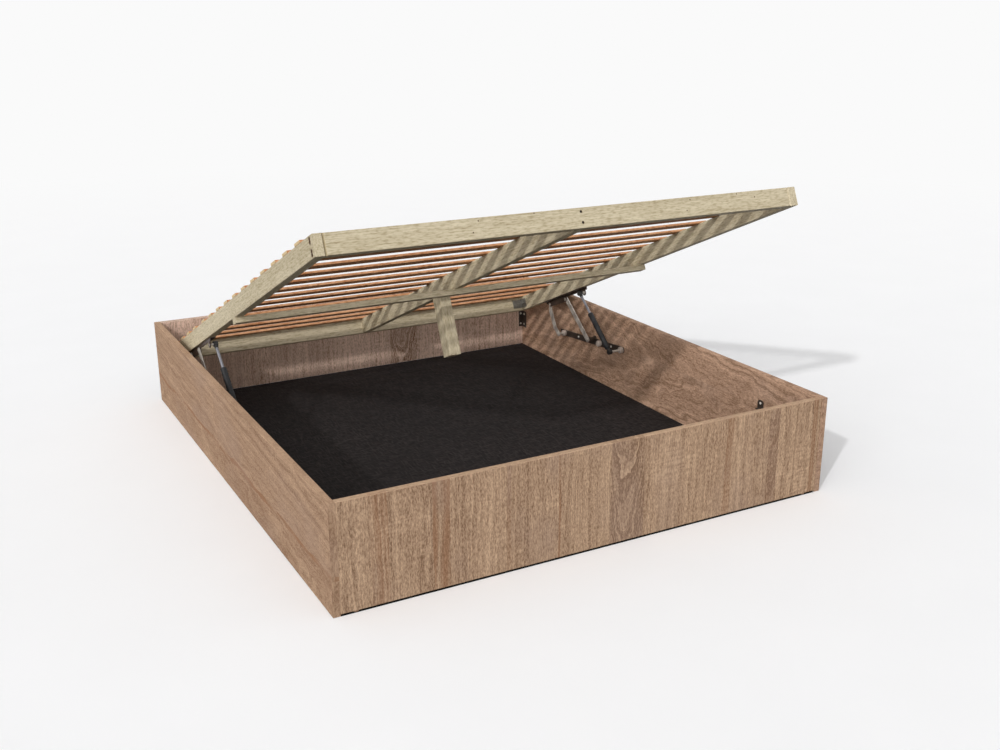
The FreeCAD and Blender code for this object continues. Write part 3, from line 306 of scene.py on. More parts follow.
SAW_PLACE_SPAN = (0.52, 0.64)
SAW_SPAN = (0.42, 0.62)
RED_TONE_SPAN = (0.52, 0.72)
RED_RING_SPAN = (0.35, 0.60)
RED_SHARE = 0.55
DULL_SPAN = (0.50, 0.68)
DULL_SHARE = 0.26
PORE_SPAN = (0.50, 0.66)
PORE_HEIGHT = -0.7
GRAIN_HEIGHT = 0.5
OAK_ROUGHNESS = (0.60, 0.78)
OAK_SHEEN_SHARE = 0.05
OAK_WEAR_SHARES = (0.42, 0.12)

# How far apart in the noise two boards lie, and how far its pores lean, in metres
SEED_SHIFT = 9.0
PORE_LEAN = 0.03

# Whole numbers that make a board's seed from its tone and figure
SEED_TONE_TURNS = 7
SEED_FIGURE_TURNS = 5

# Softwood
FIBRE_PATTERNS = {
    "bands": Pattern((60.0, 1.6, 60.0), octaves=3.0, twist=0.6),
    "fibres": Pattern((260.0, 14.0, 260.0), octaves=3.0, roughness=0.6),
    "flecks": Pattern((240.0, 52.0, 240.0)),
    "blotch": Pattern((9.0, 3.0, 9.0)),
}
FIBRE_LAYERS = {
    "bands": ((0.32, 0.68), 0.26),
    "fibres": ((0.36, 0.64), 0.34),
    "blotch": ((0.35, 0.65), 0.14),
}
FLECK_SPAN = (0.46, 0.66)
FLECK_HEIGHT = -0.5
FIBRE_ROUGHNESS = (0.52, 0.72)
SOFTWOOD_FLECK_SHARE = 0.42
SOFTWOOD_SHEEN_SHARE = 0.2
SOFTWOOD_WEAR_SHARES = (0.40, 0.2)

# Knots, painted shade round sunk screws and a painted shadow in a joint, as shares of their size: where a
# spot's and the joint shadow's darkness is full, and where the joint shadow ends behind
SPOT_CORE_SHARE = 0.7
JOINT_SHADOW_CORE_SHARE = 0.6
JOINT_SHADOW_REACH_SHARE = 1.3

# Screws nearer to the middle of the foot rail than this belong to the centre rail's joint
MIDDLE_SHARE = 0.25

# Beech slats
SLAT_FLECK_SHARE = 0.55
SLAT_SHEEN_SHARE = 0.1
VENEERS_PER_METRE = 620.0
GLUE_SPAN = (0.45, 0.65)
GLUE_SHARE = 0.25
RAY_PATTERN = Pattern((90.0, 160.0, 700.0))
RAY_SPAN = (0.40, 0.64)
RAY_SHARES = (0.0, 0.3)

# Black floor board
DUST_PATTERN = Pattern((2.2, 2.2, 2.2), octaves=5.0, roughness=0.6)
LINT_PATTERN = Pattern((240.0, 240.0, 240.0), octaves=1.0)
THREAD_SHARE = 0.12
DUST_SHARES = (0.35, 0.95)
THREAD_SPAN = (0.50, 0.72)
LINT_SPAN = (0.68, 0.76)
LINT_SHARE = 0.5
LINEN_SPAN = (0.4, 0.7)
LINEN_ROUGHNESS = (0.88, 0.72)
LINEN_SHEEN_SHARE = 0.12

# Metal
METAL_PATTERNS = {
    "stains": Pattern((55.0, 55.0, 55.0), octaves=4.0, roughness=0.6),
    "brushed": Pattern((1500.0, 90.0, 1500.0)),
    "specks": Pattern((900.0, 900.0, 900.0), octaves=1.0),
}
STAIN_SPAN = (0.38, 0.68)
SPECK_SPAN = (0.60, 0.74)
SPECK_SHARE = 0.12
SPECK_HEIGHT = 0.4
STAIN_ROUGHNESS = 0.30
BRUSH_ROUGHNESS = 0.22
LEAST_ROUGHNESS = 0.14
METAL_BREAKUP_SHARE = 0.40

# Paint and plastic
PEEL_PATTERN = Pattern((700.0, 700.0, 700.0))
SCUFF_PATTERN = Pattern((60.0, 60.0, 240.0), octaves=4.0, roughness=0.65)
SCUFF_SPAN = (0.52, 0.72)
SCUFF_SHARE = 0.22
SCUFF_ROUGHNESS = 0.2
COAT_WEAR_SHARES = (0.46, 0.35)

# Worn edges: how far a rounded normal leans from the face's own, and how the wear is broken up.
# A finish's own wear shares say how broken up its edges are, and how strongly they show
EDGE_SPAN = (0.995, 0.86)
EDGE_SAMPLES = 4
BREAKUP_PATTERN = Pattern((90.0, 90.0, 90.0), octaves=3.0)
BREAKUP_SPAN = (-0.1, 0.12)

# A face looks along an axis when this much of its normal does
FACING_SHARE = 0.7

# How much of a bump shows, and how much a finish without a value of its own mirrors
BUMP_SHARE = 0.6
LINEN_BUMP_SHARE = 0.5
BRUSH_BUMP_SHARE = 0.4
PEEL_BUMP_SHARE = 0.3
PLAIN_SHEEN_SHARE = 0.5

# Studio floor
FLOOR_PATTERN = Pattern((3.0, 3.0, 3.0), octaves=4.0)
FLOOR_ROUGHNESS = (0.75, 0.9)
FLOOR_SHEEN_SHARE = 0.1

# Metals: tone among the settings, shares of stains, worn edges and shine, and the tone of the worn edges
METALS = {
    "zinc_steel": ("zinc", 0.30, 0.5, 0.30, shade(226, 222, 214)),
    "dull_steel": ("dull", 0.50, 0.5, 0.25, shade(150, 143, 134)),
    "brown_steel": ("brown", 0.40, 0.4, 0.40, shade(140, 122, 106)),
    "grey_zinc": ("grey", 0.35, 0.4, 0.30, shade(170, 165, 156)),
    "rod_steel": ("rod", 0.20, 0.4, 0.70, shade(214, 214, 218)),
    "bright_screw": ("bright", 0.15, 0.3, 0.30, shade(240, 236, 228)),
    "recess_shaded_screw": ("screw", 0.50, 0.1, 0.40, shade(90, 84, 78)),
}

# Paint and plastics: tone among the settings, least roughness, and the tone of the scuffs
COATS = {
    "black_paint": ("paint", 0.42, shade(70, 71, 74)),
    "cream_plastic": ("cream", 0.38, shade(150, 142, 132)),
    "black_plastic": ("black_plastic", 0.42, shade(80, 78, 75)),
    "brown_plastic": ("brown_plastic", 0.42, shade(190, 165, 140)),
}

# Fittings that have each of these finishes, by the words that their names start with
FITTINGS = {
    "zinc_steel": ("front_link", "rear_link", "rear_flange", "rear_pivot", "front_pivot_studs", "strut_pivot",
                   "strut_top"),
    "grey_zinc": ("frame_corner_brackets",),
    "dull_steel": ("base_plate", "stop_brackets", "case_corner", "front_pivot_spacers"),
    "brown_steel": ("upper_bracket",),
    "rod_steel": ("strut_rods",),
    "black_paint": ("strut_cylinders",),
    "cream_plastic": ("pivot_bushings", "base_bumpers"),
    "black_plastic": ("strut_lower", "strut_upper"),
    "brown_plastic": ("panel_glides",),
}

# Outline of a screw's head, as shares of its radius outwards and of its height downwards
DOME_SHARES = ((0.55, 0.08), (0.88, 0.4), (1.0, 0.75), (1.0, 1.1), (0.5, 1.1))
CONE_SHARES = ((1.0, 0.0), (0.5, 0.9))
SHANK_SHARE = 0.5
HEAD_SHARE = 0.55
SCREW_SIDES = 20

# The points at one end of a screw are those within its length divided by this
END_PARTS = 3


# Helpers for shader nodes


FLOAT, VECTOR, COLOUR = "NodeSocketFloat", "NodeSocketVector", "NodeSocketColor"
FINISH_SOCKETS = [("Color", COLOUR), ("Height", FLOAT), ("Roughness", FLOAT)]


def add(tree, kind, inputs=None, **settings):
    """Add a node, with its settings, and fill or link its inputs by name or number."""
    made = tree.nodes.new(kind)
    for name, value in settings.items():
        setattr(made, name, value)
    for name, value in (inputs or {}).items():
        if isinstance(value, bpy.types.NodeSocket):
            tree.links.new(value, made.inputs[name])
        else:
            made.inputs[name].default_value = value
    return made


def grouped(tree, name, **inputs):
    """Place a node group in a material."""
    return add(tree, "ShaderNodeGroup", inputs, node_tree=bpy.data.node_groups[name]).outputs


def calculate(tree, operation, *values, clamp=False):
    """Add a math node and return its result."""
    made = add(tree, "ShaderNodeMath", dict(enumerate(values)), operation=operation, use_clamp=clamp)
    return made.outputs[0]


def times(tree, first, second):
    """Multiply two numbers."""
    return calculate(tree, "MULTIPLY", first, second)


def scaled(tree, value, factor, start):
    """Multiply a number by a factor and add that to another number."""
    return calculate(tree, "MULTIPLY_ADD", value, factor, start)


def axes(tree, vector):
    """Return the three numbers of a vector."""
    return add(tree, "ShaderNodeSeparateXYZ", {0: vector}).outputs


def blend(tree, share, first, second):
    """Mix two colours by a share."""
    return add(tree, "ShaderNodeMix", {0: share, 6: first, 7: second}, data_type="RGBA").outputs[2]


def span(tree, value, low, high, start=0.0, end=1.0):
    """Map a value from one span to another, kept inside it."""
    inputs = {"Value": value, "From Min": low, "From Max": high, "To Min": start, "To Max": end}
    return add(tree, "ShaderNodeMapRange", inputs, clamp=True).outputs[0]


def cloud(tree, vector, pattern):
    """Add the noise of a pattern and return its value."""
    mapped = add(tree, "ShaderNodeMapping", {
        "Vector": vector, "Scale": pattern.repeats, "Location": pattern.shift}).outputs[0]
    inputs = {
        "Vector": mapped, "Scale": 1.0, "Detail": pattern.octaves, "Roughness": pattern.roughness,
        "Distortion": pattern.twist}
    return add(tree, "ShaderNodeTexNoise", inputs).outputs[0]


def clouds(tree, vector, patterns):
    """Add the noises of several patterns and return their values by name."""
    return {name: cloud(tree, vector, pattern) for name, pattern in patterns.items()}


def lines(tree, value, octaves=1.0):
    """Add a noise along one number and return its value."""
    inputs = {"W": value, "Scale": 1.0, "Detail": octaves}
    return add(tree, "ShaderNodeTexNoise", inputs, noise_dimensions="1D").outputs[0]


def layered(tree, total, noise, layers):
    """Add noises to a total, each kept to its span and times its weight."""
    for name, (limits, weight) in layers.items():
        total = scaled(tree, span(tree, noise[name], *limits), weight, total)
    return total


def steps(tree, value, stops):
    """Add a stepped ramp, and return three numbers of each step: its tone, its figure and a seed."""
    ramp = add(tree, "ShaderNodeValToRGB", {0: value})
    ramp.color_ramp.interpolation = "CONSTANT"
    marks = ramp.color_ramp.elements
    marks[1].position = stops[-1][0]
    for position, _, _ in stops[1:-1]:
        marks.new(position)
    for mark, (_, tone, figure) in zip(marks, stops):
        mark.color = (tone, figure, (SEED_TONE_TURNS * tone + SEED_FIGURE_TURNS * figure) % 1, 1)
    return add(tree, "ShaderNodeSeparateColor", {0: ramp.outputs[0]}).outputs


def new_group(name, inputs, outputs):
    """Start a node group with named sockets, and return the group, its inputs and its outputs."""
    group = bpy.data.node_groups.new(name, "ShaderNodeTree")
    for label, kind in inputs:
        group.interface.new_socket(label, in_out="INPUT", socket_type=kind)
    for label, kind in outputs:
        group.interface.new_socket(label, in_out="OUTPUT", socket_type=kind)
    return group, group.nodes.new("NodeGroupInput").outputs, group.nodes.new("NodeGroupOutput").inputs


def oak_group():
    """Build the printed oak figure, with its grain along Y: growth lines, arches, pores and saw marks."""
    group, given, result = new_group(
        "oak_figure",
        [("Vector", VECTOR), ("Heart", FLOAT), ("Arches", FLOAT), ("Tone", FLOAT), ("Figure", FLOAT),
         ("Seed", FLOAT), ("Pale", COLOUR), ("Dark", COLOUR), ("Streak", COLOUR), ("Bloom", COLOUR)],
        FINISH_SOCKETS)
    lift = times(group, given["Seed"], SEED_SHIFT)
    seed = add(group, "ShaderNodeCombineXYZ", {2: lift}).outputs[0]
    spot = add(group, "ShaderNodeVectorMath", {0: given["Vector"], 1: seed}, operation="ADD").outputs[0]
    noise = clouds(group, spot, OAK_PATTERNS)

    # Straight growth lines, and arches round the heart of a figured board
    across, along, _ = axes(group, spot)
    swayed = times(group, noise["sway"], SWAY_LINES)
    straight = scaled(group, across, LINES_PER_METRE, swayed)
    arched = times(group, given["Heart"], given["Heart"])
    arched = scaled(group, arched, HEART_LINES, swayed)
    arched = calculate(group, "SUBTRACT", arched, times(group, along, given["Arches"]))
    apart = calculate(group, "SUBTRACT", arched, straight)
    figured = span(group, given["Figure"], *FIGURE_SPAN)
    ring = scaled(group, apart, figured, straight)
    ring = scaled(group, noise["wander"], WANDER_LINES, ring)

    # A narrow figured board has bolder lines that swirl
    bold = times(group, figured, span(group, given["Arches"], *NARROW_SPAN))
    swirl = times(group, bold, SWIRL_LINES)
    ring = scaled(group, noise["swirl"], swirl, ring)
    noise["rings"] = lines(group, ring, RING_OCTAVES)
    noise["fine_rings"] = lines(group, times(group, ring, FINE_LINES))

    # Short dark pores in two sizes, which lean a little from place to place
    lean = times(group, noise["wander"], PORE_LEAN)
    lean = add(group, "ShaderNodeCombineXYZ", {0: lean}).outputs[0]
    waved = add(group, "ShaderNodeVectorMath", {0: spot, 1: lean}, operation="ADD").outputs[0]
    noise |= clouds(group, waved, PORE_PATTERNS)

    # Pale saw marks here and there
    saw_place = span(group, noise["saw_place"], *SAW_PLACE_SPAN)
    saw_marks = times(group, saw_place, span(group, noise["saw"], *SAW_SPAN))

    weight = scaled(group, bold, BOLD_RING_WEIGHT, RING_WEIGHT)
    depth = times(group, span(group, noise["rings"], *NOISE_SPAN), weight)
    depth = layered(group, depth, noise, OAK_LAYERS)
    depth = scaled(group, given["Tone"], TONE_WEIGHT, depth)
    depth = scaled(group, saw_marks, SAW_WEIGHT, depth)
    tone = blend(group, span(group, depth, *DEPTH_SPAN), given["Pale"], given["Dark"])

    # Dark boards have red lines, and all have dull patches
    red_share = times(group, span(group, given["Tone"], *RED_TONE_SPAN), RED_SHARE)
    red_share = times(group, red_share, span(group, noise["rings"], *RED_RING_SPAN))
    tone = blend(group, red_share, tone, given["Streak"])
    dull_share = times(group, span(group, noise["dull"], *DULL_SPAN), DULL_SHARE)
    group.links.new(blend(group, dull_share, tone, given["Bloom"]), result["Color"])

    pores = span(group, noise["dashes"], *PORE_SPAN)
    height = times(group, noise["grain"], GRAIN_HEIGHT)
    group.links.new(scaled(group, pores, PORE_HEIGHT, height), result["Height"])
    group.links.new(span(group, noise["grain"], *NOISE_SPAN, *OAK_ROUGHNESS), result["Roughness"])


def fibre_group():
    """Build plain sawn wood: fibres, soft bands and short flecks. Grain runs along Y."""
    group, given, result = new_group(
        "wood_fibre", [("Vector", VECTOR), ("Pale", COLOUR), ("Dark", COLOUR), ("Fleck", FLOAT)],
        FINISH_SOCKETS)
    noise = clouds(group, given["Vector"], FIBRE_PATTERNS)
    depth = layered(group, 0.0, noise, FIBRE_LAYERS)
    fleck_depth = times(group, span(group, noise["flecks"], *FLECK_SPAN), given["Fleck"])
    depth = calculate(group, "ADD", depth, fleck_depth, clamp=True)
    height = scaled(group, noise["flecks"], FLECK_HEIGHT, noise["fibres"])
    group.links.new(blend(group, depth, given["Pale"], given["Dark"]), result["Color"])
    group.links.new(height, result["Height"])
    group.links.new(span(group, noise["fibres"], *NOISE_SPAN, *FIBRE_ROUGHNESS), result["Roughness"])


def edge_group():
    """Build a mask that is 1 along sharp edges and broken up like light wear."""
    group, given, result = new_group(
        "edge_wear", [("Vector", VECTOR), ("Breakup", FLOAT), ("Width", FLOAT)], [("Mask", FLOAT)])
    rounded = add(group, "ShaderNodeBevel", {"Radius": given["Width"]}, samples=EDGE_SAMPLES).outputs[0]
    normal = add(group, "ShaderNodeNewGeometry").outputs["Normal"]
    alike = add(group, "ShaderNodeVectorMath", {0: rounded, 1: normal}, operation="DOT_PRODUCT")
    edges = span(group, alike.outputs["Value"], *EDGE_SPAN)
    patches = cloud(group, given["Vector"], BREAKUP_PATTERN)
    broken = span(group, calculate(group, "SUBTRACT", patches, given["Breakup"]), *BREAKUP_SPAN)
    group.links.new(times(group, edges, broken), result["Mask"])


def metal_group(stain):
    """Build worked metal: a fine brushed grain, cloudy stains and specks."""
    group, given, result = new_group(
        "worked_metal", [("Vector", VECTOR), ("Metal", COLOUR), ("Stain", FLOAT)], FINISH_SOCKETS)
    noise = clouds(group, given["Vector"], METAL_PATTERNS)
    darken = times(group, span(group, noise["stains"], *STAIN_SPAN), given["Stain"])
    darken = scaled(group, span(group, noise["specks"], *SPECK_SPAN), SPECK_SHARE, darken)
    height = scaled(group, noise["specks"], SPECK_HEIGHT, noise["brushed"])
    rough = scaled(group, noise["brushed"], BRUSH_ROUGHNESS, LEAST_ROUGHNESS)
    rough = scaled(group, noise["stains"], STAIN_ROUGHNESS, rough)
    group.links.new(blend(group, darken, given["Metal"], stain), result["Color"])
    group.links.new(height, result["Height"])
    group.links.new(rough, result["Roughness"])


def new_material(name):
    """Start a material, and return it with its node tree and its shader."""
    material = bpy.data.materials.new(name)
    material.use_nodes = True
    return material, material.node_tree, material.node_tree.nodes["Principled BSDF"]


def place_of(tree):
    """Return the object coordinates of a material."""
    return add(tree, "ShaderNodeTexCoord").outputs["Object"]


def turned(tree, vector, turn):
    """Turn coordinates so that the grain runs along Y."""
    return add(tree, "ShaderNodeMapping", {"Vector": vector, "Rotation": turn}).outputs[0]


def on_platform(tree, vector):
    """Turn coordinates into those of the leaning platform: across, along and up from its foot end."""
    inputs = {"Vector": vector, "Location": PLATFORM_FOOT, "Rotation": (-PLATFORM_TILT, 0, 0)}
    return add(tree, "ShaderNodeMapping", inputs, vector_type="TEXTURE").outputs[0]


def facing(tree, axis):
    """Return a mask of the faces that look along one axis."""
    normal = add(tree, "ShaderNodeTexCoord").outputs["Normal"]
    part = axes(tree, normal)[axis]
    return calculate(tree, "GREATER_THAN", calculate(tree, "ABSOLUTE", part), FACING_SHARE)


def worn_edges(tree, spot, width, breakup_share, wear_share):
    """Return a mask of worn edges."""
    mask = grouped(tree, "edge_wear", Vector=spot, Breakup=breakup_share, Width=width)["Mask"]
    return times(tree, mask, wear_share)


def coat(tree, shader, tone, roughness, sheen_share=PLAIN_SHEEN_SHARE):
    """Feed a tone and a roughness to a shader, and set how much it mirrors."""
    tree.links.new(tone, shader.inputs["Base Color"])
    tree.links.new(roughness, shader.inputs["Roughness"])
    shader.inputs["Specular IOR Level"].default_value = sheen_share


def bumped(tree, shader, height, depth, strength_share=BUMP_SHARE):
    """Feed a height to a shader's normal."""
    bump = add(tree, "ShaderNodeBump", {"Height": height, "Distance": depth, "Strength": strength_share})
    tree.links.new(bump.outputs[0], shader.inputs["Normal"])


def dress(names, material):
    """Give a material to parts of the frame."""
    for name in names:
        for place in NODES[name].material_slots:
            place.material = material


def parts(*starts):
    """Give the names of the frame's parts that start with one of some words."""
    found = [name for name in sorted(NODES) if name.startswith(starts)]
    if not found:
        raise RuntimeError(f"no part starts with {starts}")
    return found


# Finishes


def oak_material(name, settings, tones, ways, ends, board_shares, heart_shares, sway_share, flip):
    """Make laminate with its grain one way on the faces and along the length of the banded edges."""
    pale, dark, top_highlight_share = tones
    grain_turn, edge_turn, edge_axis = ways
    material, tree, shader = new_material(name)
    place = place_of(tree)
    face = turned(tree, place, grain_turn)
    edge = turned(tree, place, edge_turn)
    banded = facing(tree, edge_axis)
    spot = add(tree, "ShaderNodeMix", {0: banded, 4: face, 5: edge}, data_type="VECTOR").outputs[1]
    across = axes(tree, face)[0]
    sway = span(tree, cloud(tree, face, SEAM_PATTERN), 0.0, 1.0, -sway_share, sway_share)
    across = calculate(tree, "ADD", span(tree, across, *ends), sway)
    board = steps(tree, across, board_shares)
    middle_share, half_share = heart_shares
    arches = ARCHES_PER_SPAN / (half_share * (ends[1] - ends[0]))
    heart = span(tree, across, middle_share - half_share, middle_share + half_share, -1.0, 1.0)
    seed = calculate(tree, "ADD", board[2], flip)
    oak = grouped(
        tree, "oak_figure", Vector=spot, Heart=heart, Arches=arches, Tone=board[0], Figure=board[1],
        Seed=seed, Pale=pale, Dark=dark, Streak=settings.streak, Bloom=settings.bloom)
    pale_edge = worn_edges(tree, spot, WOOD_EDGE, *OAK_WEAR_SHARES)
    # Painted highlight: the top edges of the sunlit panels are lightened
    painted_top_highlight = times(tree, facing(tree, 2), top_highlight_share)
    tone = blend(tree, calculate(tree, "MAXIMUM", pale_edge, painted_top_highlight), oak["Color"], pale)
    coat(tree, shader, tone, oak["Roughness"], OAK_SHEEN_SHARE)
    bumped(tree, shader, oak["Height"], settings.pore_depth)
    return material


class BED_OT_dress_panels(bpy.types.Operator):
    """Give the case's panels their oak laminate"""
    bl_idname = "bed.dress_panels"
    bl_label = "Oak panels"

    def execute(self, context):
        settings = context.scene.storage_bed.oak
        oak_group()
        upright = (-RIGHT_ANGLE, 0, 0)
        sideways = (0, 0, RIGHT_ANGLE)
        lengthwise = (0, RIGHT_ANGLE, 0)
        foot_tones = (settings.pale, settings.dark, TOP_HIGHLIGHT_SHARE)
        # The head and right panels take the shaded copies of the ground tone
        head_tones = (settings.shaded_head_pale, settings.dark, 0.0)
        left_tones = (settings.left_pale, settings.side_dark, TOP_HIGHLIGHT_SHARE)
        right_tones = (settings.shaded_right_pale, settings.side_dark, 0.0)
        panels = (
            ("foot_panel", foot_tones, FOOT_BOARD_SHARES, FOOT_HEART_SHARES, END_SWAY_SHARE, 0.0),
            ("head_panel", head_tones, HEAD_BOARD_SHARES, HEAD_HEART_SHARES, END_SWAY_SHARE, 3.0),
            ("side_panel_left", left_tones, LEFT_BOARD_SHARES, SIDE_HEART_SHARES, SIDE_SWAY_SHARE, 5.2),
            ("side_panel_right", right_tones, RIGHT_BOARD_SHARES, SIDE_HEART_SHARES, SIDE_SWAY_SHARE, 8.6),
        )
        for name, tones, boards, heart, sway, flip in panels:
            low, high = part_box(name)
            ways, ends = (upright, sideways, 2), (low.x, high.x)
            if name.startswith("side"):
                ways, ends = (lengthwise, upright, 1), (low.z, high.z)
            dress([name], oak_material(f"oak_{name}", settings, tones, ways, ends, boards, heart, sway, flip))
        return {"FINISHED"}


class BED_OT_dress_floor_board(bpy.types.Operator):
    """Give the floor board its black pressed linen surface"""
    bl_idname = "bed.dress_floor_board"
    bl_label = "Black floor board"

    def execute(self, context):
        settings = context.scene.storage_bed.board
        material, tree, shader = new_material("black_board")
        spot = place_of(tree)
        pitch = 1 / settings.thread
        slow = pitch * THREAD_SHARE
        weft = cloud(tree, spot, Pattern((slow, pitch, pitch), octaves=1.0))
        warp = cloud(tree, spot, Pattern((pitch, slow, pitch), octaves=1.0))
        linen = calculate(tree, "MAXIMUM", weft, warp)
        dusty = span(tree, cloud(tree, spot, DUST_PATTERN), *NOISE_SPAN, *DUST_SHARES)
        lint = span(tree, cloud(tree, spot, LINT_PATTERN), *LINT_SPAN)
        share = times(tree, span(tree, linen, *THREAD_SPAN), dusty)
        share = scaled(tree, lint, LINT_SHARE, share)
        tone = blend(tree, share, settings.black, settings.lint)
        coat(tree, shader, tone, span(tree, linen, *LINEN_SPAN, *LINEN_ROUGHNESS), LINEN_SHEEN_SHARE)
        bumped(tree, shader, linen, LINEN_DEPTH, LINEN_BUMP_SHARE)
        dress(["floor_board"], material)
        return {"FINISHED"}


def softwood(name, settings, grain_turn, knots=(), holes=(), recess_shade_size=0, joint_shadow_across=None):
    """Make sawn softwood with its grain along one way of the platform, small knots, painted shade round sunk
    screws and a painted shadow in a joint.
    """
    material, tree, shader = new_material(name)
    platform = on_platform(tree, place_of(tree))
    spot = turned(tree, platform, grain_turn)
    wood = grouped(tree, "wood_fibre", Vector=spot, Pale=settings.pale, Dark=settings.dark,
                   Fleck=SOFTWOOD_FLECK_SHARE)
    tone = blend(tree, worn_edges(tree, spot, WOOD_EDGE, *SOFTWOOD_WEAR_SHARES), wood["Color"], settings.pale)
    # Painted shade: dark spots round the sunk screws stand in for the shade in their recesses, in the knots'
    # colour
    spots = [(knot, settings.knot_size) for knot in knots] + [(hole, recess_shade_size) for hole in holes]
    for middle, radius in spots:
        away = add(tree, "ShaderNodeVectorMath", {0: platform, 1: middle}, operation="DISTANCE")
        near = span(tree, away.outputs["Value"], radius, radius * SPOT_CORE_SHARE)
        tone = blend(tree, near, tone, settings.knot)
    # Painted shadow: a dark band in the joint at one end of the foot rail, where the side rail's end casts
    # shade
    if joint_shadow_across is not None:
        size = settings.joint_shadow_size
        across, along, _ = axes(tree, platform)
        away = calculate(tree, "ABSOLUTE", calculate(tree, "SUBTRACT", across, joint_shadow_across))
        near = span(tree, away, size, size * JOINT_SHADOW_CORE_SHARE)
        front = span(tree, along, size * JOINT_SHADOW_REACH_SHARE, size)
        tone = blend(tree, times(tree, near, front), tone, settings.dark)
    coat(tree, shader, tone, wood["Roughness"], SOFTWOOD_SHEEN_SHARE)
    bumped(tree, shader, wood["Height"], FIBRE_DEPTH)
    return material


class BED_OT_dress_frame(bpy.types.Operator):
    """Give the platform's rails, cross bar and leg their softwood"""
    bl_idname = "bed.dress_frame"
    bl_label = "Softwood frame"

    def execute(self, context):
        settings = context.scene.storage_bed.wood
        fibre_group()
        low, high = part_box("foot_rail")
        size = high - low

        # The rail's own depth, worked out from the upright box round the leaning rail
        depth = size.z * math.cos(PLATFORM_TILT) - size.y * math.sin(PLATFORM_TILT)
        depth = depth / math.cos(2 * PLATFORM_TILT)
        knots = [(low.x + across * size.x, 0.0, up * depth) for across, up in KNOT_SHARES]
        to_platform = Matrix.Rotation(PLATFORM_TILT, 4, "X") @ Matrix.Translation(-Vector(PLATFORM_FOOT))
        # Places of the sunk screws, where the painted recess shade goes
        holes = [to_platform @ screw_place(points)[0] for points in loose_pieces("frame_joint_screws")]
        middle = size.x * MIDDLE_SHARE
        foot_holes = [hole for hole in holes if abs(hole.x) < middle and hole.y < size.y]
        side_holes = [hole for hole in holes if abs(hole.x) > middle]

        crosswise = (0, 0, RIGHT_ANGLE)
        lengthwise = (0, 0, 0)
        upright = (-RIGHT_ANGLE, 0, 0)
        # The foot rail and the side rails take the painted joint shadow at their left end
        dress(["foot_rail"], softwood(
            "softwood_foot_rail", settings, crosswise, knots, foot_holes, settings.recess_shade_size, low.x))
        dress(["head_rail", "cross_bar"], softwood("softwood_crosswise", settings, crosswise))
        dress(parts("side_rail"), softwood(
            "softwood_side_rail", settings, lengthwise, (), side_holes, settings.side_recess_shade_size, low.x))
        dress(["centre_rail"], softwood("softwood_lengthwise", settings, lengthwise))
        dress(["support_leg"], softwood("softwood_upright", settings, upright))
        return {"FINISHED"}


class BED_OT_dress_slats(bpy.types.Operator):
    """Give the slats their beech veneer"""
    bl_idname = "bed.dress_slats"
    bl_label = "Beech slats"

    def execute(self, context):
        settings = context.scene.storage_bed.wood
        material, tree, shader = new_material("beech_slats")
        platform = on_platform(tree, place_of(tree))
        spot = turned(tree, platform, (0, 0, RIGHT_ANGLE))
        wood = grouped(tree, "wood_fibre", Vector=spot, Pale=settings.slat_pale, Dark=settings.slat_dark,
                       Fleck=SLAT_FLECK_SHARE)
        up = axes(tree, platform)[2]
        glue = span(tree, lines(tree, times(tree, up, VENEERS_PER_METRE)), *GLUE_SPAN)
        tone = blend(tree, times(tree, glue, GLUE_SHARE), wood["Color"], settings.slat_dark)
        rays = span(tree, cloud(tree, platform, RAY_PATTERN), *RAY_SPAN, *RAY_SHARES)
        end_tone = blend(tree, rays, settings.slat_end, settings.slat_dark)
        tone = blend(tree, facing(tree, 0), tone, end_tone)
        coat(tree, shader, tone, wood["Roughness"], SLAT_SHEEN_SHARE)
        bumped(tree, shader, wood["Height"], FIBRE_DEPTH)
        dress(parts("slat_row"), material)
        return {"FINISHED"}


def metal_material(name, settings):
    """Make worked metal with brighter edges."""
    tone, stain_share, wear_share, shine_share, edge_tone = METALS[name]
    material, tree, shader = new_material(name)
    spot = place_of(tree)
    metal = grouped(tree, "worked_metal", Vector=spot, Metal=getattr(settings, tone), Stain=stain_share)
    worn = worn_edges(tree, spot, FITTING_EDGE, METAL_BREAKUP_SHARE, wear_share)
    coat(tree, shader, blend(tree, worn, metal["Color"], edge_tone), metal["Roughness"])
    shader.inputs["Metallic"].default_value = shine_share
    bumped(tree, shader, metal["Height"], BRUSH_DEPTH, BRUSH_BUMP_SHARE)
    return material


def coated_material(name, settings):
    """Make paint or moulded plastic with a fine orange-peel surface and light scuffs."""
    tone, roughness, scuff_tone = COATS[name]
    material, tree, shader = new_material(name)
    spot = place_of(tree)
    scuffs = cloud(tree, spot, SCUFF_PATTERN)
    share = times(tree, span(tree, scuffs, *SCUFF_SPAN), SCUFF_SHARE)
    worn = worn_edges(tree, spot, FITTING_EDGE, *COAT_WEAR_SHARES)
    share = calculate(tree, "ADD", worn, share, clamp=True)
    rough = span(tree, scuffs, *NOISE_SPAN, roughness, roughness + SCUFF_ROUGHNESS)
    coat(tree, shader, blend(tree, share, getattr(settings, tone), scuff_tone), rough)
    bumped(tree, shader, cloud(tree, spot, PEEL_PATTERN), PEEL_DEPTH, PEEL_BUMP_SHARE)
    return material


class BED_OT_dress_fittings(bpy.types.Operator):
    """Give the links, brackets, struts, bushings and glides their metals, paint and plastics"""
    bl_idname = "bed.dress_fittings"
    bl_label = "Fittings"

    def execute(self, context):
        settings = context.scene.storage_bed.metal
        metal_group(settings.stain)
        for name, starts in FITTINGS.items():
            make = metal_material if name in METALS else coated_material
            dress(parts(*starts), make(name, settings))
        return {"FINISHED"}


# Screws with cross recesses, in place of the plain ones of the frame


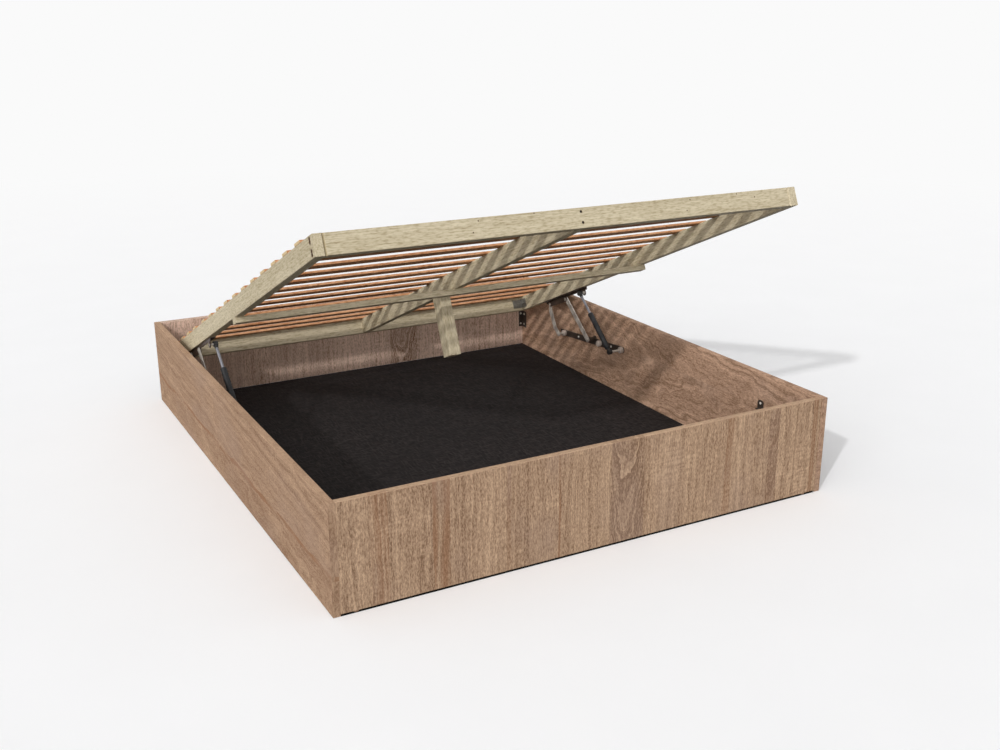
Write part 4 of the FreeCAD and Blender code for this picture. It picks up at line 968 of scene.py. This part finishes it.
def loose_pieces(name):
    """Give each loose piece of a part of the frame as a list of points, in an order that stays the same."""
    mesh = bmesh.new()
    mesh.from_mesh(NODES[name].data)
    bmesh.ops.remove_doubles(mesh, verts=mesh.verts, dist=WELD_DISTANCE)
    left = set(mesh.verts)
    pieces = []
    while left:
        reached = [left.pop()]
        for vertex in reached:
            near = {edge.other_vert(vertex) for edge in vertex.link_edges} & left
            left -= near
            reached.extend(near)
        pieces.append(sorted((vertex.co.copy() for vertex in reached), key=tuple))
    mesh.free()
    return sorted(pieces, key=lambda points: tuple(points[0]))


def screw_place(points):
    """Find a screw's head centre, its direction out of the head, its head's radius and its length."""
    middle = sum(points, Vector()) / len(points)
    far = max(points, key=lambda point: (point - middle).length)
    tip = max(points, key=lambda point: (point - far).length)
    reach = (far - tip).length / END_PARTS
    ends = [[point for point in points if (point - end).length < reach] for end in (far, tip)]
    centres = [sum(end, Vector()) / len(end) for end in ends]
    axis = (centres[0] - centres[1]).normalized()

    def radius(point):
        away = point - centres[0]
        return (away - axis * away.dot(axis)).length

    widest = max(points, key=radius)
    if (widest - centres[0]).length > (widest - centres[1]).length:
        axis.negate()
    heights = [point.dot(axis) for point in points]
    on_axis = centres[0] - axis * centres[0].dot(axis)
    return on_axis + axis * max(heights), axis, radius(widest), max(heights) - min(heights)


def screw_mesh(radius, reach, settings, countersunk):
    """Turn a screw with its head's top at the origin and cut a cross recess into it."""
    shank = radius * SHANK_SHARE
    head = radius * HEAD_SHARE
    outline = CONE_SHARES if countersunk else DOME_SHARES
    profile = [(0, 0)]
    profile += [(radius * across, -head * down) for across, down in outline]
    profile += [(shank, -reach + shank), (0, -reach)]
    mesh = bmesh.new()
    corners = [mesh.verts.new((across, 0, up)) for across, up in profile]
    edges = [mesh.edges.new(pair) for pair in zip(corners, corners[1:])]
    bmesh.ops.spin(mesh, geom=corners + edges, cent=(0, 0, 0), axis=(0, 0, 1), angle=math.tau,
                   steps=SCREW_SIDES, use_merge=True)
    bmesh.ops.remove_doubles(mesh, verts=mesh.verts, dist=WELD_DISTANCE)
    bmesh.ops.recalc_face_normals(mesh, faces=mesh.faces)
    body = as_object("screw_blank", mesh)

    mesh = bmesh.new()
    for turn in (0, RIGHT_ANGLE):
        size = Matrix.Diagonal(
            (2 * settings.recess_reach, settings.recess_width, 2 * settings.recess_depth, 1))
        bmesh.ops.create_cube(mesh, size=1, matrix=Matrix.Rotation(turn, 4, "Z") @ size)
    cutter = as_object("screw_cutter", mesh)
    cut = body.modifiers.new("recess", "BOOLEAN")
    cut.object = cutter
    cut.operation = "DIFFERENCE"
    cut.solver = "EXACT"
    cut.use_self = True
    result = bpy.data.meshes.new_from_object(body.evaluated_get(bpy.context.evaluated_depsgraph_get()))
    for spare in (body, cutter):
        bpy.data.objects.remove(spare)
    return result


def as_object(name, mesh):
    """Turn a bmesh into an object of the scene."""
    data = bpy.data.meshes.new(name)
    mesh.to_mesh(data)
    mesh.free()
    made = bpy.data.objects.new(name, data)
    bpy.context.scene.collection.objects.link(made)
    return made


class BED_OT_make_screws(bpy.types.Operator):
    """Set screws with cross recesses in place of the plain ones"""
    bl_idname = "bed.make_screws"
    bl_label = "Screws"

    def execute(self, context):
        settings = context.scene.storage_bed.screws
        metal = context.scene.storage_bed.metal
        bright = metal_material("bright_screw", metal)
        grey = bpy.data.materials["grey_zinc"]
        # Joint screws: near-black, painted shade of their recesses
        dark = metal_material("recess_shaded_screw", metal)
        for name, body, material, slot, countersunk in (
                ("case_screws", "case", bright, "zinc_steel", False),
                ("platform_bracket_screws", "platform", grey, "zinc_steel", False),
                ("frame_joint_screws", "platform", dark, "dark_steel", True)):
            places = [screw_place(points) for points in loose_pieces(name)]
            _, _, radius, reach = places[0]
            master = screw_mesh(radius, reach, settings, countersunk)
            mesh = bmesh.new()
            for top, axis, _, _ in places:
                before = len(mesh.verts)
                mesh.from_mesh(master)
                mesh.verts.ensure_lookup_table()
                move = Matrix.Translation(top) @ axis.to_track_quat("Z", "Y").to_matrix().to_4x4()
                bmesh.ops.transform(mesh, matrix=move, verts=mesh.verts[before:])
            screws = as_object(f"recessed_{name}", mesh)
            screws.data.materials.append(material)
            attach(screws, body)
            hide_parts(name)
        return {"FINISHED"}


# Stage


def looked_at(tree):
    """Return a mask of the rays that show a surface: the camera's, mirrored ones and those through glass."""
    path = add(tree, "ShaderNodeLightPath").outputs
    seen = calculate(tree, "ADD", path["Is Camera Ray"], path["Is Glossy Ray"])
    return calculate(tree, "ADD", seen, path["Is Transmission Ray"], clamp=True)


def floor_material(settings):
    """Make the pale floor: with a painted shadow under the foot panel, and turning into the backdrop far off.
    """
    material, tree, shader = new_material("studio_floor")
    spot = place_of(tree)
    seen = looked_at(tree)
    wear = cloud(tree, spot, FLOOR_PATTERN)
    tone = blend(tree, span(tree, wear, *NOISE_SPAN), settings.floor_colour, settings.floor_wear)
    tone = blend(tree, seen, settings.floor_bounce, tone)
    # Painted shadow: the floor is darkened within the foot panel's footprint, where the gap under the panel
    # lies in shade
    low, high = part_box("foot_panel")
    aside, ahead, _ = axes(tree, spot)
    under = calculate(tree, "LESS_THAN", calculate(tree, "ABSOLUTE", aside), high.x)
    under = times(tree, under, calculate(tree, "GREATER_THAN", ahead, low.y))
    under = times(tree, under, calculate(tree, "LESS_THAN", ahead, high.y))
    tone = blend(tree, under, tone, settings.floor_painted_shadow)
    coat(tree, shader, tone, span(tree, wear, *NOISE_SPAN, *FLOOR_ROUGHNESS), FLOOR_SHEEN_SHARE)
    distance = add(tree, "ShaderNodeVectorMath", {0: spot}, operation="LENGTH").outputs["Value"]
    far = span(tree, distance, settings.blend_start, settings.blend_end)
    glow = add(tree, "ShaderNodeEmission", {"Color": settings.backdrop}).outputs[0]
    share = times(tree, seen, far)
    mixed = add(tree, "ShaderNodeMixShader", {0: share, 1: shader.outputs[0], 2: glow}).outputs[0]
    tree.links.new(mixed, tree.nodes["Material Output"].inputs["Surface"])
    return material


def make_floor(settings):
    """Set a wide floor just under the case."""
    mesh = bmesh.new()
    bmesh.ops.create_grid(mesh, x_segments=1, y_segments=1, size=settings.floor_reach)
    bmesh.ops.translate(mesh, verts=mesh.verts, vec=(0, 0, -FLOOR_GAP))
    floor = as_object("studio_floor", mesh)
    floor.data.materials.append(floor_material(settings))


def make_sky(settings):
    """Set a fill light that is brighter on one side, and a plain backdrop for the camera."""
    world = bpy.data.worlds.new("studio")
    world.use_nodes = True
    bpy.context.scene.world = world
    tree = world.node_tree
    fill = tree.nodes["Background"]
    fill.inputs["Color"].default_value = settings.sky_colour
    direction = add(tree, "ShaderNodeTexCoord").outputs["Generated"]
    bright_side = Vector(SKY_DIRECTION).normalized()
    toward = add(tree, "ShaderNodeVectorMath", {0: direction, 1: bright_side}, operation="DOT_PRODUCT")
    slope = scaled(tree, toward.outputs["Value"], settings.sky_slope, 1.0)
    strength = times(tree, slope, settings.sky_strength)
    tree.links.new(strength, fill.inputs["Strength"])
    backdrop = add(tree, "ShaderNodeBackground", {"Color": settings.backdrop}).outputs[0]
    mixed = add(tree, "ShaderNodeMixShader", {0: looked_at(tree), 1: fill.outputs[0], 2: backdrop})
    tree.links.new(mixed.outputs[0], tree.nodes["World Output"].inputs["Surface"])


def make_lights(settings):
    """Set the key light and the soft front light."""
    for name, strength, width, direction in (
            ("key_light", settings.sun_strength, settings.sun_angle, KEY_DIRECTION),
            ("front_light", settings.front_strength, settings.front_angle, FRONT_DIRECTION)):
        sun = bpy.data.lights.new(name, "SUN")
        sun.energy = strength
        sun.angle = width
        lamp = bpy.data.objects.new(name, sun)
        lamp.rotation_euler = Vector(direction).to_track_quat("-Z", "Y").to_euler()
        bpy.context.scene.collection.objects.link(lamp)


def make_camera(settings):
    """Set the camera where the photo was taken."""
    view = bpy.data.cameras.new("photo_view")
    view.sensor_width = CAMERA_SENSOR
    view.lens = settings.lens
    camera = bpy.data.objects.new("photo_view", view)
    camera.location = CAMERA_PLACE
    camera.rotation_euler = CAMERA_TURN
    bpy.context.scene.collection.objects.link(camera)
    bpy.context.scene.camera = camera


class BED_OT_set_stage(bpy.types.Operator):
    """Set the floor, the backdrop, the light and the camera"""
    bl_idname = "bed.set_stage"
    bl_label = "Stage"

    def execute(self, context):
        settings = context.scene.storage_bed.stage
        context.scene.view_settings.view_transform = "Standard"
        make_floor(settings)
        make_sky(settings)
        make_lights(settings)
        make_camera(settings)
        return {"FINISHED"}


class BED_PT_panel(bpy.types.Panel):
    """Lists the steps that finish the storage bed"""
    bl_label = "Storage bed"
    bl_idname = "BED_PT_panel"
    bl_space_type = "VIEW_3D"
    bl_region_type = "UI"
    bl_category = "Storage bed"

    def draw(self, context):
        for step in STEPS:
            self.layout.operator(step.bl_idname)


SETTINGS = (OakSettings, FrameWoodSettings, BoardSettings, MetalSettings, ScrewSettings, StageSettings,
            StorageBedSettings)
STEPS = (BED_OT_dress_panels, BED_OT_dress_floor_board, BED_OT_dress_frame, BED_OT_dress_slats,
         BED_OT_dress_fittings, BED_OT_make_screws, BED_OT_set_stage)


def register():
    for kind in SETTINGS + STEPS + (BED_PT_panel,):
        bpy.utils.register_class(kind)
    bpy.types.Scene.storage_bed = bpy.props.PointerProperty(type=StorageBedSettings)


def unregister():
    del bpy.types.Scene.storage_bed
    for kind in reversed(SETTINGS + STEPS + (BED_PT_panel,)):
        bpy.utils.unregister_class(kind)


def main():
    """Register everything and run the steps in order."""
    register()
    edge_group()
    bpy.ops.bed.dress_panels()
    bpy.ops.bed.dress_floor_board()
    bpy.ops.bed.dress_frame()
    bpy.ops.bed.dress_slats()
    bpy.ops.bed.dress_fittings()
    bpy.ops.bed.make_screws()
    bpy.ops.bed.set_stage()


if __name__ == "__main__":
    main()
